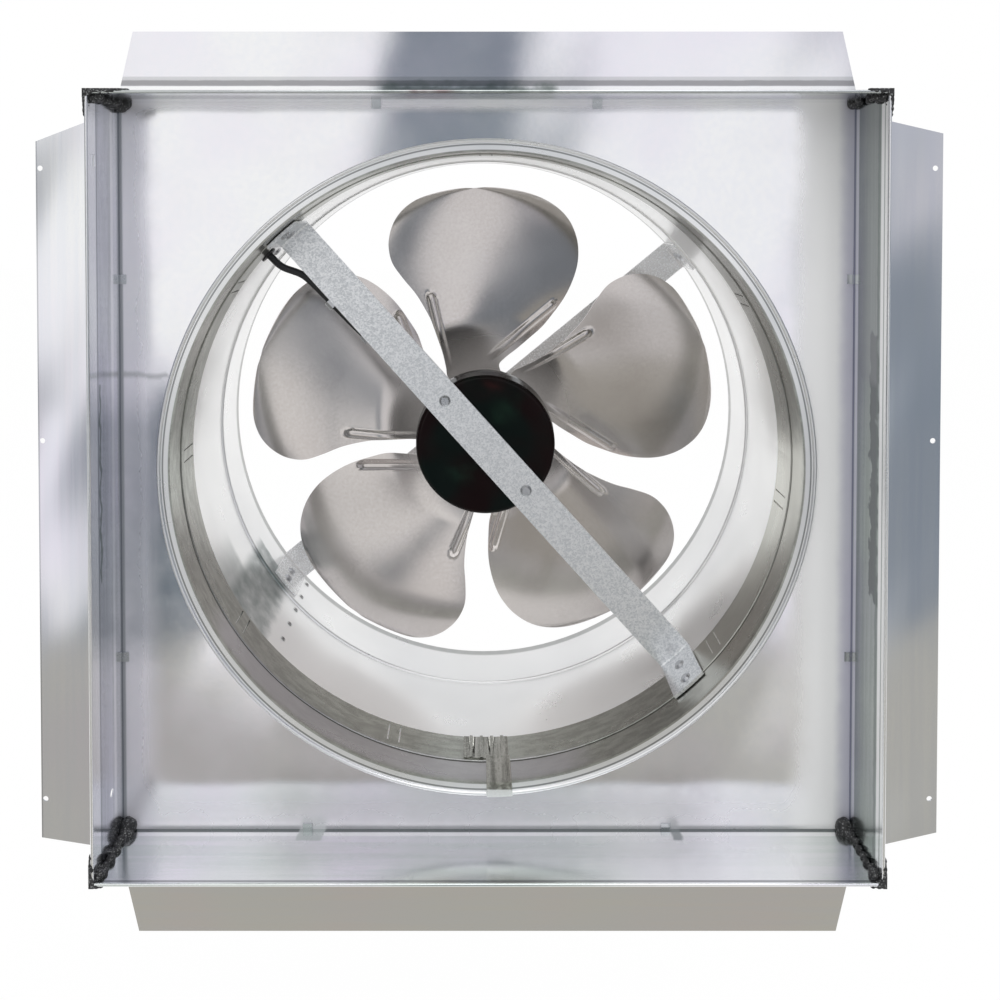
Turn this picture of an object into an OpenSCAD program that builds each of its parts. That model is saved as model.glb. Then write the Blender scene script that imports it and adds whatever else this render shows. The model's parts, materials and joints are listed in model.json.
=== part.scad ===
// Attic fan: a square galvanised tray with four mounting flanges, a round barrel behind it,
// a flat strap across the barrel that carries the motor, and a five-blade fan on the motor shaft.
// X is to the right, Z is up and +Y runs along the fan axis, away from the open tray.
// The origin is on the fan axis, in the rear face of the mounting flanges.

/* [Tray] */
// Outer width and height across the rim
tray_w = 470; // [450:1:560]
// Depth from the rim to the front of the back panel
tray_depth = 51; // [44:1:70]
// Distance that the rim stands in front of the flanges' rear face
rim_h = 14; // [10:0.5:20]
// Thickness of the galvanised sheet
sheet_t = 0.8; // [0.6:0.1:1.2]
// Gap inside the folded hem at the rim
hem_gap = 0.4; // [0.2:0.1:0.8]
// Gap between the folded hem's edge and the flanges
hem_clear = 1.2; // [0.8:0.2:6]
// Depth of the lip folded back from the back panel's edge
lip_h = 12; // [8:1:20]
// Distance of the bottom seam tabs from the middle
seam_tab_low = 115; // [60:1:180]
// Distance of the top seam tabs from the middle
seam_tab_high = 70; // [30:1:180]
// Distance of the side seam tabs from the middle
seam_tab_side = 121; // [60:1:180]
// Width of a seam tab
seam_tab_w = 6; // [4:0.5:12]
// Height of a seam tab
seam_tab_h = 4; // [3:0.5:6]

/* [Mounting flanges] */
// Width of a flange outside the rim
flange_w = 36; // [25:1:50]
// Width of the left flange outside the rim
left_flange_w = 34; // [25:1:50]
// Distance that a flange stops short of the tray corner
flange_inset = 16; // [12:1:40]
// Angle at which the flange ends are cut
flange_cut = 13; // [5:1:25]
// Angle at which the left flange's upper end is cut
left_upper_cut = 21; // [5:1:25]
// Angle at which the left flange's lower end is cut
left_lower_cut = 9; // [5:1:25]
// Depth of the flange's foot on the wall
flange_foot = 14; // [8:1:20]
// Radius of a mounting hole
hole_r = 1.6; // [1.5:0.1:2]
// Distance of the mounting holes from the right flange's outer edge
hole_edge = 4.5; // [3:0.5:9]
// Distance of the mounting holes from the left flange's outer edge
left_hole_edge = 2.5; // [2.5:0.5:9]
// Distance of the end holes from the middle of the flange
hole_half_span = 190; // [150:1:200]
// Height of the middle hole above the centre
mid_hole_z = 27; // [-60:1:60]

/* [Corner sealant] */
// Radius of the bead along the inner corners
bead_r = 4; // [2:0.5:6]
// Radius of the blob in the back corner
blob_r = 9; // [6:0.5:14]
// Length of the smear outside each rim corner
smear_len = 15; // [8:1:20]
// Thickness of the smear
smear_t = 1.8; // [1:0.2:3]

/* [Barrel] */
// Inner diameter of the barrel
barrel_d = 406; // [396:1:430]
// Length of the barrel behind the back panel
barrel_len = 186; // [176:1:230]
// Distance of the rear bead from the barrel's far end
rear_bead_back = 55; // [50:1:70]
// Height of the barrel's beads
bead_h = 1.4; // [0.6:0.1:2]
// Radius of the roll at the far end
end_roll_r = 2; // [1.5:0.1:3]
// Width of the barrel's lap seam
lap_w = 20; // [14:1:30]
// Angle at which the barrel's lap seam starts
lap_angle = 223; // [223:1:230]
// Number of spot welds along the lap seam
lap_welds = 5; // [3:1:6]
// Distance between the spot welds
weld_pitch = 25; // [15:1:28]
// Radius of a spot weld
weld_r = 2; // [1.5:0.1:3]

/* [Inlet collar] */
// Length of the collar behind the front of the back panel
collar_len = 52; // [46:1:60]
// Width of the collar's ring in front of the panel
ring_w = 7.5; // [5:0.5:12]
// Radius of the curl at the ring's outer edge
curl_r = 1.2; // [0.8:0.1:1.6]
// Gap between the collar and the barrel around it
slip_gap = 0.1; // [0.1:0.05:0.3]
// Distance of the collar's bead from the panel
collar_bead_at = 23; // [18:1:28]
// Height of the collar's bead
collar_bead_h = 0.6; // [0.4:0.1:0.8]
// Length of a slit in the collar
slit_len = 20; // [10:1:22]
// Width of a slit
slit_w = 1; // [0.8:0.1:1.6]
// Distance between the two slits of a pair
slit_pair = 8; // [6:0.5:12]
// Width of the splice plate at the collar's joint
splice_w = 30; // [20:1:44]
// Width of the splice's tab, folded over the ring
splice_tab_w = 16; // [10:1:20]

/* [Straps] */
// Width of both straps
strap_w = 25; // [20:0.5:30]
// Thickness of both straps
strap_t = 2; // [1.5:0.1:3]
// Angle of the front strap's upper end
front_strap_angle = 132; // [128:1:136]
// Angle of the rear strap's upper end
rear_strap_angle = 39.5; // [36:0.5:40]
// Distance of the front strap behind the collar
front_strap_back = 7; // [4:0.5:14]
// Length of the front strap's bent legs
front_leg = 43; // [38:1:46]
// Distance of the rear strap in front of the barrel's far end
rear_strap_in = 8; // [5:0.5:12]
// Length of the rear strap's bent legs
rear_leg = 40; // [30:1:42]
// Inner radius of the strap bends
bend_r = 1.5; // [1:0.5:4]
// Clearance between a strap's leg and the wall or bead beside it
leg_gap = 0.3; // [0.2:0.05:0.6]
// Radius of a rivet
rivet_r = 2; // [1.5:0.1:2.4]
// Distance of the first rivet from the leg's end
rivet_end = 9; // [7:0.5:12]
// Distance of a front leg's second rivet from the collar's far end
collar_rivet_in = 6; // [4.5:0.5:8]
// Distance between the rivets in a rear leg
rear_rivet_pitch = 14; // [10:1:18]

/* [Motor] */
// Radius of the motor's front face
face_r = 46; // [45:0.5:48]
// Radius of the motor's rim
can_r = 49.6; // [49.5:0.5:53]
// Length of the front shell
front_len = 20; // [18:0.5:24]
// Outer radius of the rear shell
rear_r = 42; // [40:0.5:44]
// Length of the rear shell
rear_len = 48; // [46:1:54]
// Wall of both shells
shell_t = 1.5; // [1.2:0.1:1.8]
// Distance of the strap screws from the motor's centre
screw_offset = 42.4; // [41:0.1:43]
// Radius of the strap screws
screw_r = 2; // [1.5:0.1:2.2]
// Radius of the motor shaft
shaft_r = 4; // [3:0.1:5]
// Radial running clearance of the shaft in its bearings
shaft_gap = 0.05; // [0.02:0.01:0.08]
// Air gap between rotor and stator
air_gap = 0.5; // [0.4:0.1:0.8]
// Radius of the rotor
rotor_r = 23.5; // [20:0.5:25]
// Length of the laminated stack
stack_len = 24; // [18:1:26]

/* [Fan] */
// Radius at the blade tips
fan_r = 182; // [160:1:186]
// Thickness of the blade sheet
blade_t = 1.2; // [1:0.1:2]
// Distance of the fan's disc behind the motor
fan_back = 18; // [16:0.5:22]
// Radius of the disc that joins the blades
disc_r = 40; // [36:1:44]
// Number of blades
blades = 5; // [3:1:5]
// Advance of a blade along the axis for each degree around it
lead = 0.36; // [0.2:0.02:0.5]
// Rise of a blade's middle above the line between its edges
camber = 4; // [0:0.5:8]
// Height of the pressed ribs near the hub
rib_h = 2; // [0:0.25:3]
// Radius of the hub
hub_r = 12; // [10:0.5:15]
// Length of the hub
hub_len = 26; // [22:1:30]

/* [Wiring] */
// Diameter of the motor lead
lead_d = 5; // [4:0.5:6]
// Clearance around the lead in its grommets and clips
lead_gap = 0.1; // [0.05:0.05:0.3]
// Angle around the barrel at which the lead leaves it
lead_angle = 138.5; // [137.5:0.5:141]
// Size of the wiring box along the barrel
box_len = 60; // [54:1:80]
// Width of the wiring box
box_w = 52; // [46:1:60]
// Height of the wiring box off the barrel
box_h = 38; // [34:1:50]
// Wall of the wiring box
box_t = 1.2; // [0.8:0.1:2]
// Radius of the supply cable's entry
entry_r = 11; // [8:0.5:12]

/* [Hidden] */
$fn = 96;
eps = 0.01;

// Colours
galvanised = "silver";
strap_grey = "darkgray";
motor_black = "#1b1b1d";
blade_grey = "#9a928d";
bright_steel = "lightgray";
rubber_black = "#151515";
copper = "#b06a3a";

// Tray, measured outwards from the axis and backwards from the flanges
y_rim = -rim_h;
y_panel = tray_depth - rim_h;
y_panel_back = y_panel + sheet_t;
y_wall_end = y_panel + lip_h;
rim_half = tray_w / 2;
hem_w = 2 * sheet_t + hem_gap;
hem_h = rim_h - sheet_t - hem_clear;
wall_in = rim_half - hem_w;
wall_out = wall_in + sheet_t;
hem_mid = rim_half - hem_w / 2;
flange_half = rim_half - flange_inset;
notch_z = 194.5;
notch_w = 7;
notch_from = 2.5;
weep_hole_z = -197;
weep_hole_r = 2.5;
weep_hole_y = (y_panel + y_rim) / 2 + 5;

smear_depth = 5;

// Barrel and collar
barrel_in = barrel_d / 2;
barrel_out = barrel_in + sheet_t;
y_barrel_end = y_panel_back + barrel_len;
y_rear_bead = y_barrel_end - rear_bead_back;
collar_out = barrel_in - slip_gap;
collar_in = collar_out - sheet_t;
y_collar_end = y_panel + collar_len;
y_collar_bead = y_panel + collar_bead_at;
ring_out = collar_out + ring_w;
y_slit_end = y_collar_end - 2;
slit_angles = [90, 146, 180, 215, 252, 320, 351, 31];
splice_angle = 270;
splice_ribs = [-10, -3, 4, 11];
rivet_seat = 0.05;
weld_from_end = 14;
weld_inset = 1.5;
lap_inset = 0.5;

// Straps
y_front_strap = y_collar_end + front_strap_back;
y_motor = y_front_strap + strap_t;
y_front_leg = y_motor - front_leg;
y_rear_strap = y_barrel_end - rear_strap_in - strap_t;
y_rear_leg = y_rear_strap + strap_t - rear_leg;
front_leg_out = collar_in - collar_bead_h - leg_gap;
rear_leg_out = barrel_in - leg_gap;
front_rivets = [y_front_leg + rivet_end, y_collar_end - collar_rivet_in];
rear_rivets = [y_rear_leg + rivet_end, y_rear_leg + rivet_end + rear_rivet_pitch];
hole_gap = 0.1;
rivet_hole_r = rivet_r + hole_gap;
rivet_head_r = 2 * rivet_r;
rivet_head_h = 0.7 * rivet_r;

// Motor
y_joint = y_motor + front_len;
y_motor_end = y_joint + rear_len;
lip_t = 2;
lip_in = rear_r + 0.5;
motor_bolt_at = (can_r - shell_t + lip_in) / 2;
motor_bolt_r = 1.3;
motor_bolt_angles = [40, 130, 220, 310];
bearing_r = 8;
bearing_len = 10;
boss_r = bearing_r + 2.5;
stack_y = y_joint + 7;
stator_out = rear_r - shell_t - 0.1;
stator_in = rotor_r + air_gap;
winding_h = 9;
y_front_bearing = y_motor + shell_t;
y_rear_bearing = y_motor_end - bearing_len - rivet_seat;
nut_h = 3;
nut_r = 1.6 * screw_r;

// Fan
y_disc = y_motor_end + fan_back;
disc_t = blade_t + 0.6;
hub_fit = 0.05;
y_hub = y_disc - hub_len / 2 - 1;
hub_flange_r = 24;
hub_flange_t = 2;
hub_rivet_at = 18;
hub_rivet_r = 1.6;
shaft_end = y_hub + hub_len + 3;
// Outline of a blade: share of the tip radius, then the angles of its two edges in degrees
blade_outline = [
    [0.19, -27, 40], [0.215, -20, 41], [0.245, -15.5, 40.5], [0.28, -19, 36], [0.33, -24.8, 32],
    [0.39, -29.3, 29.4], [0.46, -32.7, 27.8], [0.54, -33.8, 27.6], [0.62, -34.1, 28.1],
    [0.70, -33.3, 29.4], [0.78, -31.6, 30], [0.845, -29.2, 28.8], [0.895, -26.5, 26.8],
    [0.94, -23, 24], [0.972, -18.6, 20.7], [0.992, -12.5, 16.2], [1, -4, 8.5]
];
// Shares of a blade's width at which its surface is worked out
blade_columns = [0, 0.03, 0.07, 0.12, 0.17, 0.22, 0.28, 0.4, 0.55, 0.7, 0.8, 0.87, 0.92, 0.97, 1];
rib_end = 0.58;

// Wiring
y_lead_exit = y_collar_end + 8;
lead_r = lead_d / 2;
lead_bore_r = lead_r + lead_gap;
grommet_r = lead_r + 2;
grommet_t = 1.6;
y_box = y_lead_exit - 11;
box_seat = 0.3;
box_in = barrel_out + box_seat;
box_out = box_in + box_h;
lug = 8;
box_screw_r = 1.6;
block_len = 22;
block_w = 30;
block_h = 14;
y_block = y_lead_exit + 20;
box_rivets = [y_lead_exit + 14, y_lead_exit + 34];
clip_t = 1;
lead_y = y_motor + lead_r + lead_gap + clip_t + 0.3;
motor_entry_y = y_motor + 11;
motor_entry_b = 4;
// Route of the lead from the terminal block to the motor. The first points are given as distance
// outside the barrel's inner face and depth, in the plane of the exit. The others are given as
// distance along the front strap, distance beside its middle line, and depth.
lead_exit_route = [
    [13, 19.8], [13, 15], [13, 10], [11.7, 5], [8, 1.3], [5.5, 0.15], [3, 0], [0, 0], [-3, 0], [-14, 0]
];
lead_strap_route = [
    [174, 15.2, 1.6], [158, 13.8, 0.4], [140, 13.2, 0], [120, 12.2, 0], [102, 10, 0], [86, 6.6, 0.2]
];
clip_at = [146, 112];
clip_len = 6;

// Turns a piece made on the +X side to an angle seen from the front
module turn(a) {
    rotate([0, -a, 0]) children();
}

// A ring about the fan axis from a profile of [radius, depth] points
module turned(profile, start = 0, span = 360) {
    rotate([90, 0, 0])
        rotate([0, 0, start])
            rotate_extrude(angle = span)
                polygon([for (p = profile) [p[0], -p[1]]]);
}

// A plain tube about the fan axis
module tube(r_in, r_out, y0, y1, start = 0, span = 360) {
    turned([[r_in, y0], [r_out, y0], [r_out, y1], [r_in, y1]], start, span);
}

// A bar along the fan axis
module shaft(r, y0, y1, facets = 96) {
    translate([0, y1, 0]) rotate([90, 0, 0]) cylinder(r = r, h = y1 - y0, $fn = facets);
}

// A round bead that lies against the inside of a sheet wall
module inner_bead(r_wall, y, h) {
    rotate([90, 0, 0])
        rotate_extrude()
            translate([r_wall, -y])
                intersection() {
                    circle(r = h, $fn = 32);
                    translate([-h, -h]) square([h + sheet_t / 2, 2 * h]);
                }
}

// A rod that points outwards along +X, from one distance to another
module radial_rod(r, from, to, facets = 48) {
    translate([from, 0, 0]) rotate([0, 90, 0]) cylinder(r = r, h = to - from, $fn = facets);
}

// A rivet through sheets that lie between two radii, with a head inside and one outside
module radial_rivet(a, y, inner, outer) {
    turn(a)
        translate([0, y, 0])
            union() {
                radial_rod(rivet_r, inner - rivet_seat - eps, outer + rivet_seat + eps);
                translate([inner - rivet_seat, 0, 0])
                    rotate([0, -90, 0])
                        cylinder(r1 = rivet_head_r, r2 = 0.6 * rivet_head_r, h = rivet_head_h, $fn = 48);
                translate([outer + rivet_seat, 0, 0])
                    rotate([0, 90, 0])
                        cylinder(r1 = 0.8 * rivet_head_r, r2 = 0.5 * rivet_head_r, h = rivet_head_h, $fn = 48);
            }
}

// Holes for rivets at one angle
module radial_holes(a, depths, inner, outer, r) {
    for (y = depths) {
        turn(a) translate([0, y, 0]) radial_rod(r, inner, outer);
    }
}

// Folded edge of the rim, in section
module hem_section() {
    translate([rim_half - sheet_t, y_rim + hem_w / 2]) square([sheet_t, hem_h - hem_w / 2]);
    translate([hem_mid, y_rim + hem_w / 2])
        difference() {
            circle(r = hem_w / 2, $fn = 32);
            circle(r = hem_gap / 2, $fn = 32);
            translate([-hem_w, 0]) square([2 * hem_w, hem_w]);
        }
}

// One side of the tray, with its hem
module side_wall(a, sheet_half, hem_half) {
    color(galvanised)
        turn(a)
            union() {
                translate([wall_in, y_rim + hem_w / 2, -sheet_half])
                    cube([sheet_t, y_wall_end - y_rim - hem_w / 2, 2 * sheet_half]);
                translate([0, 0, -hem_half]) linear_extrude(height = 2 * hem_half) hem_section();
            }
}

module wall_top() {
    side_wall(90, wall_out, rim_half);
}

module wall_bottom() {
    side_wall(270, wall_out, rim_half);
}

module wall_right() {
    side_wall(0, wall_in, wall_in);
}

// The left wall has a small hole near its lower end, and its hem's inner layer has a notch
module wall_left() {
    color(galvanised)
        difference() {
            side_wall(180, wall_in, wall_in);
            translate([-wall_out - hem_gap / 2, y_rim + notch_from, notch_z - notch_w / 2])
                cube([sheet_t + hem_gap, hem_h - notch_from, notch_w]);
            translate([-wall_out - 1, weep_hole_y, weep_hole_z])
                rotate([0, 90, 0])
                    cylinder(r = weep_hole_r, h = sheet_t + 2, $fn = 48);
        }
}

// The panel across the back of the tray, with the barrel's hole and a folded lip
module back_panel() {
    color(galvanised)
        difference() {
            translate([-wall_in, y_panel, -wall_in]) cube([2 * wall_in, lip_h, 2 * wall_in]);
            translate([sheet_t - wall_in, y_panel_back, sheet_t - wall_in])
                cube([2 * (wall_in - sheet_t), lip_h, 2 * (wall_in - sheet_t)]);
            shaft(collar_out + slip_gap, y_panel - 1, y_panel_back + 1);
        }
}

// A mounting flange: a plate with slanted ends and a foot welded to the wall
module flange(a, width, low_cut, high_cut, holes = [], edge = 0) {
    out = rim_half + width;
    low_tip = width * tan(low_cut) - flange_half;
    high_tip = flange_half - width * tan(high_cut);
    color(galvanised)
        turn(a)
            difference() {
                union() {
                    rotate([90, 0, 0])
                        linear_extrude(height = sheet_t)
                            polygon([
                                [wall_out, -flange_half], [rim_half, -flange_half],
                                [out, low_tip], [out, high_tip],
                                [rim_half, flange_half], [wall_out, flange_half]
                            ]);
                    translate([wall_out, -sheet_t, -flange_half])
                        cube([sheet_t, flange_foot + sheet_t, 2 * flange_half]);
                }
                for (z = holes) {
                    translate([out - edge, 1, z])
                        rotate([90, 0, 0])
                            cylinder(r = hole_r, h = sheet_t + 2, $fn = 48);
                }
            }
}

module flange_top() {
    flange(90, flange_w, flange_cut, flange_cut);
}

module flange_bottom() {
    flange(270, flange_w, flange_cut, flange_cut);
}

module flange_right() {
    holes = [-hole_half_span, mid_hole_z, hole_half_span];
    flange(0, flange_w, flange_cut, flange_cut, holes, hole_edge);
}

// The left flange is the right one turned upside down, so its upper end comes first
module flange_left() {
    holes = [-hole_half_span, -mid_hole_z, hole_half_span];
    flange(180, left_flange_w, left_upper_cut, left_lower_cut, holes, left_hole_edge);
}

// Small tabs that hold the back panel against the walls
module seam_tabs() {
    color(bright_steel)
        for (tab = [
            [0, seam_tab_side], [90, seam_tab_high], [180, seam_tab_side], [270, seam_tab_low]
        ]) {
            for (side = [-1, 1]) {
                turn(tab[0])
                    translate([wall_in - seam_tab_h, y_panel - sheet_t, side * tab[1] - seam_tab_w / 2])
                        cube([seam_tab_h, sheet_t, seam_tab_w]);
            }
        }
}

// Black sealant in the four corners, inside along the walls and smeared outside the rim
module corner_sealant() {
    color(rubber_black)
        for (a = [0, 90, 180, 270]) {
            turn(a)
                intersection() {
                    translate([wall_in, 0, wall_in])
                        union() {
                            shaft(bead_r, y_rim + hem_w, y_panel, 48);
                            translate([0, y_panel, 0]) sphere(r = blob_r, $fn = 48);
                        }
                    translate([0, y_rim, 0]) cube([wall_in, y_panel - y_rim, wall_in]);
                }
            turn(a)
                translate([rim_half, y_rim + 1, rim_half - smear_len - 1])
                    cube([smear_t, smear_depth, smear_len]);
        }
}

// The collar: a ring in front of the panel and a slit cylinder that reaches into the barrel
module inlet_collar() {
    color(galvanised)
        difference() {
            union() {
                tube(collar_in, ring_out - curl_r, y_panel - sheet_t, y_panel);
                tube(collar_in, collar_out, y_panel - sheet_t, y_collar_end);
                inner_bead(collar_in, y_collar_bead, collar_bead_h);
                rotate([90, 0, 0])
                    rotate_extrude()
                        translate([ring_out - curl_r, -(y_panel - curl_r)]) circle(r = curl_r, $fn = 32);
            }
            for (a = slit_angles) {
                for (side = [-1, 1]) {
                    turn(a)
                        translate([collar_in - 2, y_slit_end - slit_len, side * slit_pair / 2 - slit_w / 2])
                            cube([sheet_t + 4, slit_len, slit_w]);
                }
            }
            for (side = [0, 180]) {
                radial_holes(front_strap_angle + side, front_rivets, collar_in - 2, collar_out + 2, rivet_hole_r);
            }
        }
}

// The plate that joins the collar's two ends, with a tab folded over the ring
module collar_splice() {
    half_span = asin(splice_w / 2 / collar_in);
    tab_half = asin(splice_tab_w / 2 / collar_in);
    outer = collar_in - slip_gap;
    inner = outer - sheet_t;
    tab_out = collar_in - collar_bead_h - rivet_seat;
    tab_in = tab_out - sheet_t;
    y_ring = y_panel - 2 * curl_r;
    color(bright_steel)
        union() {
            tube(inner, outer, y_collar_bead + 2, y_collar_end - 1, splice_angle - half_span, 2 * half_span);
            for (rib = splice_ribs) {
                turn(splice_angle + asin(rib / inner))
                    translate([inner - 0.8, y_collar_bead + 2, -1])
                        cube([1.2, y_collar_end - y_collar_bead - 3, 2]);
            }
            tube(tab_in, tab_out, y_ring - sheet_t, y_collar_bead + 4, splice_angle, 2 * tab_half);
            tube(tab_in, ring_out, y_ring - sheet_t, y_ring, splice_angle, 2 * tab_half);
        }
}

// The straight barrel, with a bead, a rolled far end and the spot welds of its seam
module barrel() {
    color(galvanised)
        difference() {
            union() {
                tube(barrel_in, barrel_out, y_panel_back, y_barrel_end - end_roll_r);
                inner_bead(barrel_in, y_rear_bead, bead_h);
                rotate([90, 0, 0])
                    rotate_extrude()
                        translate([barrel_in + end_roll_r, end_roll_r - y_barrel_end])
                            circle(r = end_roll_r, $fn = 32);
                for (i = [0:lap_welds - 1]) {
                    turn(lap_angle + weld_inset)
                        translate([0, y_barrel_end - weld_from_end - i * weld_pitch, 0])
                            radial_rod(weld_r, barrel_in - 0.4, barrel_in + 0.3, 24);
                }
            }
            for (side = [0, 180]) {
                radial_holes(front_strap_angle + side, front_rivets, barrel_in - 2, barrel_out + 2, rivet_hole_r);
                radial_holes(rear_strap_angle + side, rear_rivets, barrel_in - 2, barrel_out + 2, rivet_hole_r);
            }
            radial_holes(lead_angle, box_rivets, barrel_in - 2, barrel_out + 2, rivet_hole_r);
            radial_holes(lead_angle, [y_lead_exit], barrel_in - 3, barrel_out + 3, grommet_r + hole_gap);
        }
}

// The lap of the barrel's seam, on the outside
module barrel_lap() {
    half_span = asin(lap_w / 2 / barrel_out);
    color(galvanised)
        tube(barrel_out + rivet_seat, barrel_out + rivet_seat + sheet_t,
            y_panel_back, y_barrel_end - 2 * end_roll_r - 0.5, lap_angle - lap_inset, 2 * half_span);
}

// A flat strap across the barrel whose ends are bent forwards along the wall
module strap(a, y_bar, leg_out, leg_length, rivets) {
    leg_in = leg_out - strap_t;
    bend_out = bend_r + strap_t;
    difference() {
        turn(a)
            intersection() {
                union() {
                    tube(leg_in, leg_out, y_bar + strap_t - leg_length, y_bar - bend_r);
                    rotate([90, 0, 0])
                        rotate_extrude()
                            translate([leg_out - bend_out, bend_r - y_bar])
                                intersection() {
                                    difference() {
                                        circle(r = bend_out, $fn = 64);
                                        circle(r = bend_r, $fn = 64);
                                    }
                                    translate([0, -bend_out]) square([bend_out, bend_out]);
                                }
                    shaft(leg_out - bend_out, y_bar, y_bar + strap_t);
                }
                translate([-leg_out - 1, y_bar - leg_length, -strap_w / 2])
                    cube([2 * leg_out + 2, leg_length + 2 * strap_t, strap_w]);
            }
        for (side = [0, 180]) {
            radial_holes(a + side, rivets, leg_in - 2, leg_out + 2, rivet_hole_r);
        }
    }
}

module front_strap() {
    color(strap_grey)
        difference() {
            strap(front_strap_angle, y_front_strap, front_leg_out, front_leg, front_rivets);
            for (side = [-1, 1]) {
                turn(front_strap_angle)
                    translate([side * screw_offset, 0, 0])
                        shaft(screw_r + hole_gap, y_front_strap - 1, y_motor + 1, 48);
            }
        }
}

module rear_strap() {
    color(strap_grey)
        strap(rear_strap_angle, y_rear_strap, rear_leg_out, rear_leg, rear_rivets);
}

module front_strap_rivets() {
    color(bright_steel)
        for (side = [0, 180]) {
            for (y = front_rivets) {
                radial_rivet(front_strap_angle + side, y, front_leg_out - strap_t, barrel_out);
            }
        }
}

module rear_strap_rivets() {
    color(bright_steel)
        for (side = [0, 180]) {
            for (y = rear_rivets) {
                radial_rivet(rear_strap_angle + side, y, rear_leg_out - strap_t, barrel_out);
            }
        }
}

// Two screws through the strap into the motor's face
module motor_screws() {
    color(bright_steel)
        for (side = [-1, 1]) {
            turn(front_strap_angle)
                translate([side * screw_offset, 0, 0])
                    difference() {
                        union() {
                            shaft(screw_r, y_front_strap - eps, y_motor + shell_t + nut_h + 1.5, 48);
                            translate([0, y_front_strap, 0])
                                rotate([90, 0, 0])
                                    cylinder(r1 = 2 * screw_r, r2 = 1.3 * screw_r, h = 0.8 * screw_r, $fn = 48);
                        }
                        translate([-2.4 * screw_r, y_front_strap - screw_r, -0.25 * screw_r])
                            cube([4.8 * screw_r, 0.5 * screw_r, 0.5 * screw_r]);
                    }
        }
}

module motor_nuts() {
    color(bright_steel)
        for (side = [-1, 1]) {
            turn(front_strap_angle)
                translate([side * screw_offset, 0, 0])
                    difference() {
                        shaft(nut_r, y_motor + shell_t, y_motor + shell_t + nut_h, 6);
                        shaft(screw_r + rivet_seat, y_motor, y_motor + shell_t + nut_h + 1, 48);
                    }
        }
}

// The motor's front shell: a shallow cup whose face bolts to the strap
module motor_front_shell() {
    corner = can_r - face_r;
    color(motor_black)
        difference() {
            union() {
                turned(concat(
                    [[shaft_r + 1, y_motor], [face_r, y_motor]],
                    [for (t = [15:15:75])
                        [face_r + (corner - 0.6) * sin(t), y_motor + corner * (1 - cos(t))]],
                    [
                        [can_r - 0.6, y_motor + corner + 1], [can_r, y_joint - 5], [can_r, y_joint],
                        [lip_in, y_joint], [lip_in, y_joint - lip_t], [can_r - shell_t, y_joint - lip_t],
                        [can_r - shell_t - 0.6, y_motor + corner + 1],
                        [face_r - 0.3, y_motor + shell_t], [shaft_r + 1, y_motor + shell_t]
                    ]
                ));
                tube(bearing_r + hub_fit, boss_r, y_motor + shell_t - eps, y_front_bearing + bearing_len);
            }
            for (side = [-1, 1]) {
                turn(front_strap_angle)
                    translate([side * screw_offset, 0, 0])
                        shaft(screw_r + hole_gap, y_motor - 1, y_motor + shell_t + 1, 48);
            }
            for (a = motor_bolt_angles) {
                turn(a)
                    translate([motor_bolt_at, 0, 0])
                        shaft(motor_bolt_r + hole_gap, y_joint - lip_t - 1, y_joint + 1, 48);
            }
            turn(front_strap_angle)
                translate([0, motor_entry_y, motor_entry_b])
                    radial_rod(grommet_r + hole_gap, can_r - 8, can_r + 2);
        }
}

// The motor's rear shell: a lip, a deep cup and a boss for the rear bearing
module motor_rear_shell() {
    corner = 8;
    inner = rear_r - shell_t;
    color(motor_black)
        difference() {
            union() {
                turned(concat(
                    [
                        [inner, y_joint], [can_r, y_joint], [can_r, y_joint + lip_t],
                        [rear_r, y_joint + lip_t + 1], [rear_r, y_motor_end - corner]
                    ],
                    [for (t = [15:15:90])
                        [rear_r - corner * (1 - cos(t)), y_motor_end - corner * (1 - sin(t))]],
                    [[bearing_r + hub_fit, y_motor_end], [bearing_r + hub_fit, y_motor_end - shell_t]],
                    [[inner - corner + shell_t, y_motor_end - shell_t]],
                    [for (t = [75:-15:15])
                        [inner - (corner - shell_t) * (1 - cos(t)),
                            y_motor_end - shell_t - (corner - shell_t) * (1 - sin(t))]],
                    [[inner, y_motor_end - corner]]
                ));
                tube(bearing_r + hub_fit, boss_r, y_rear_bearing, y_motor_end - shell_t + eps);
                tube(shaft_r + 1, bearing_r + 1, y_motor_end - eps, y_motor_end + 1);
            }
            for (a = motor_bolt_angles) {
                turn(a)
                    translate([motor_bolt_at, 0, 0])
                        shaft(motor_bolt_r + hole_gap, y_joint - 1, y_joint + lip_t + 3, 48);
            }
        }
}

// Four bolts that clamp the shells' lips
module motor_bolts() {
    y0 = y_joint - lip_t;
    y1 = y_joint + lip_t + 1;
    color(motor_black)
        for (a = motor_bolt_angles) {
            turn(a)
                translate([motor_bolt_at, 0, 0])
                    union() {
                        shaft(motor_bolt_r, y0 - eps, y1 + eps, 24);
                        shaft(1.6 * motor_bolt_r, y0 - 1.5, y0, 24);
                        shaft(1.6 * motor_bolt_r, y1, y1 + 1.8, 24);
                    }
        }
}

// The laminated ring, with six teeth towards the rotor
module stator_core() {
    color("slategray")
        difference() {
            tube(stator_in, stator_out, stack_y, stack_y + stack_len);
            for (a = [0:60:300]) {
                turn(a)
                    translate([stator_in + 5, 0, 0])
                        shaft(4, stack_y - 1, stack_y + stack_len + 1, 48);
            }
        }
}

// The end turns on both sides of the laminated ring
module stator_winding() {
    inner = stator_in + 2;
    outer = stator_out - 2.5;
    mid = (inner + outer) / 2;
    color(copper)
        for (y0 = [stack_y - winding_h, stack_y + stack_len]) {
            turned([
                [inner, y0], [mid, y0 + 0.5], [outer, y0], [outer, y0 + winding_h], [inner, y0 + winding_h]
            ]);
        }
}

module sleeve_bearing(y0) {
    color("#b08d4f")
        tube(shaft_r + shaft_gap, bearing_r, y0, y0 + bearing_len);
}

module front_bearing() {
    sleeve_bearing(y_front_bearing);
}

module rear_bearing() {
    sleeve_bearing(y_rear_bearing);
}

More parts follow.
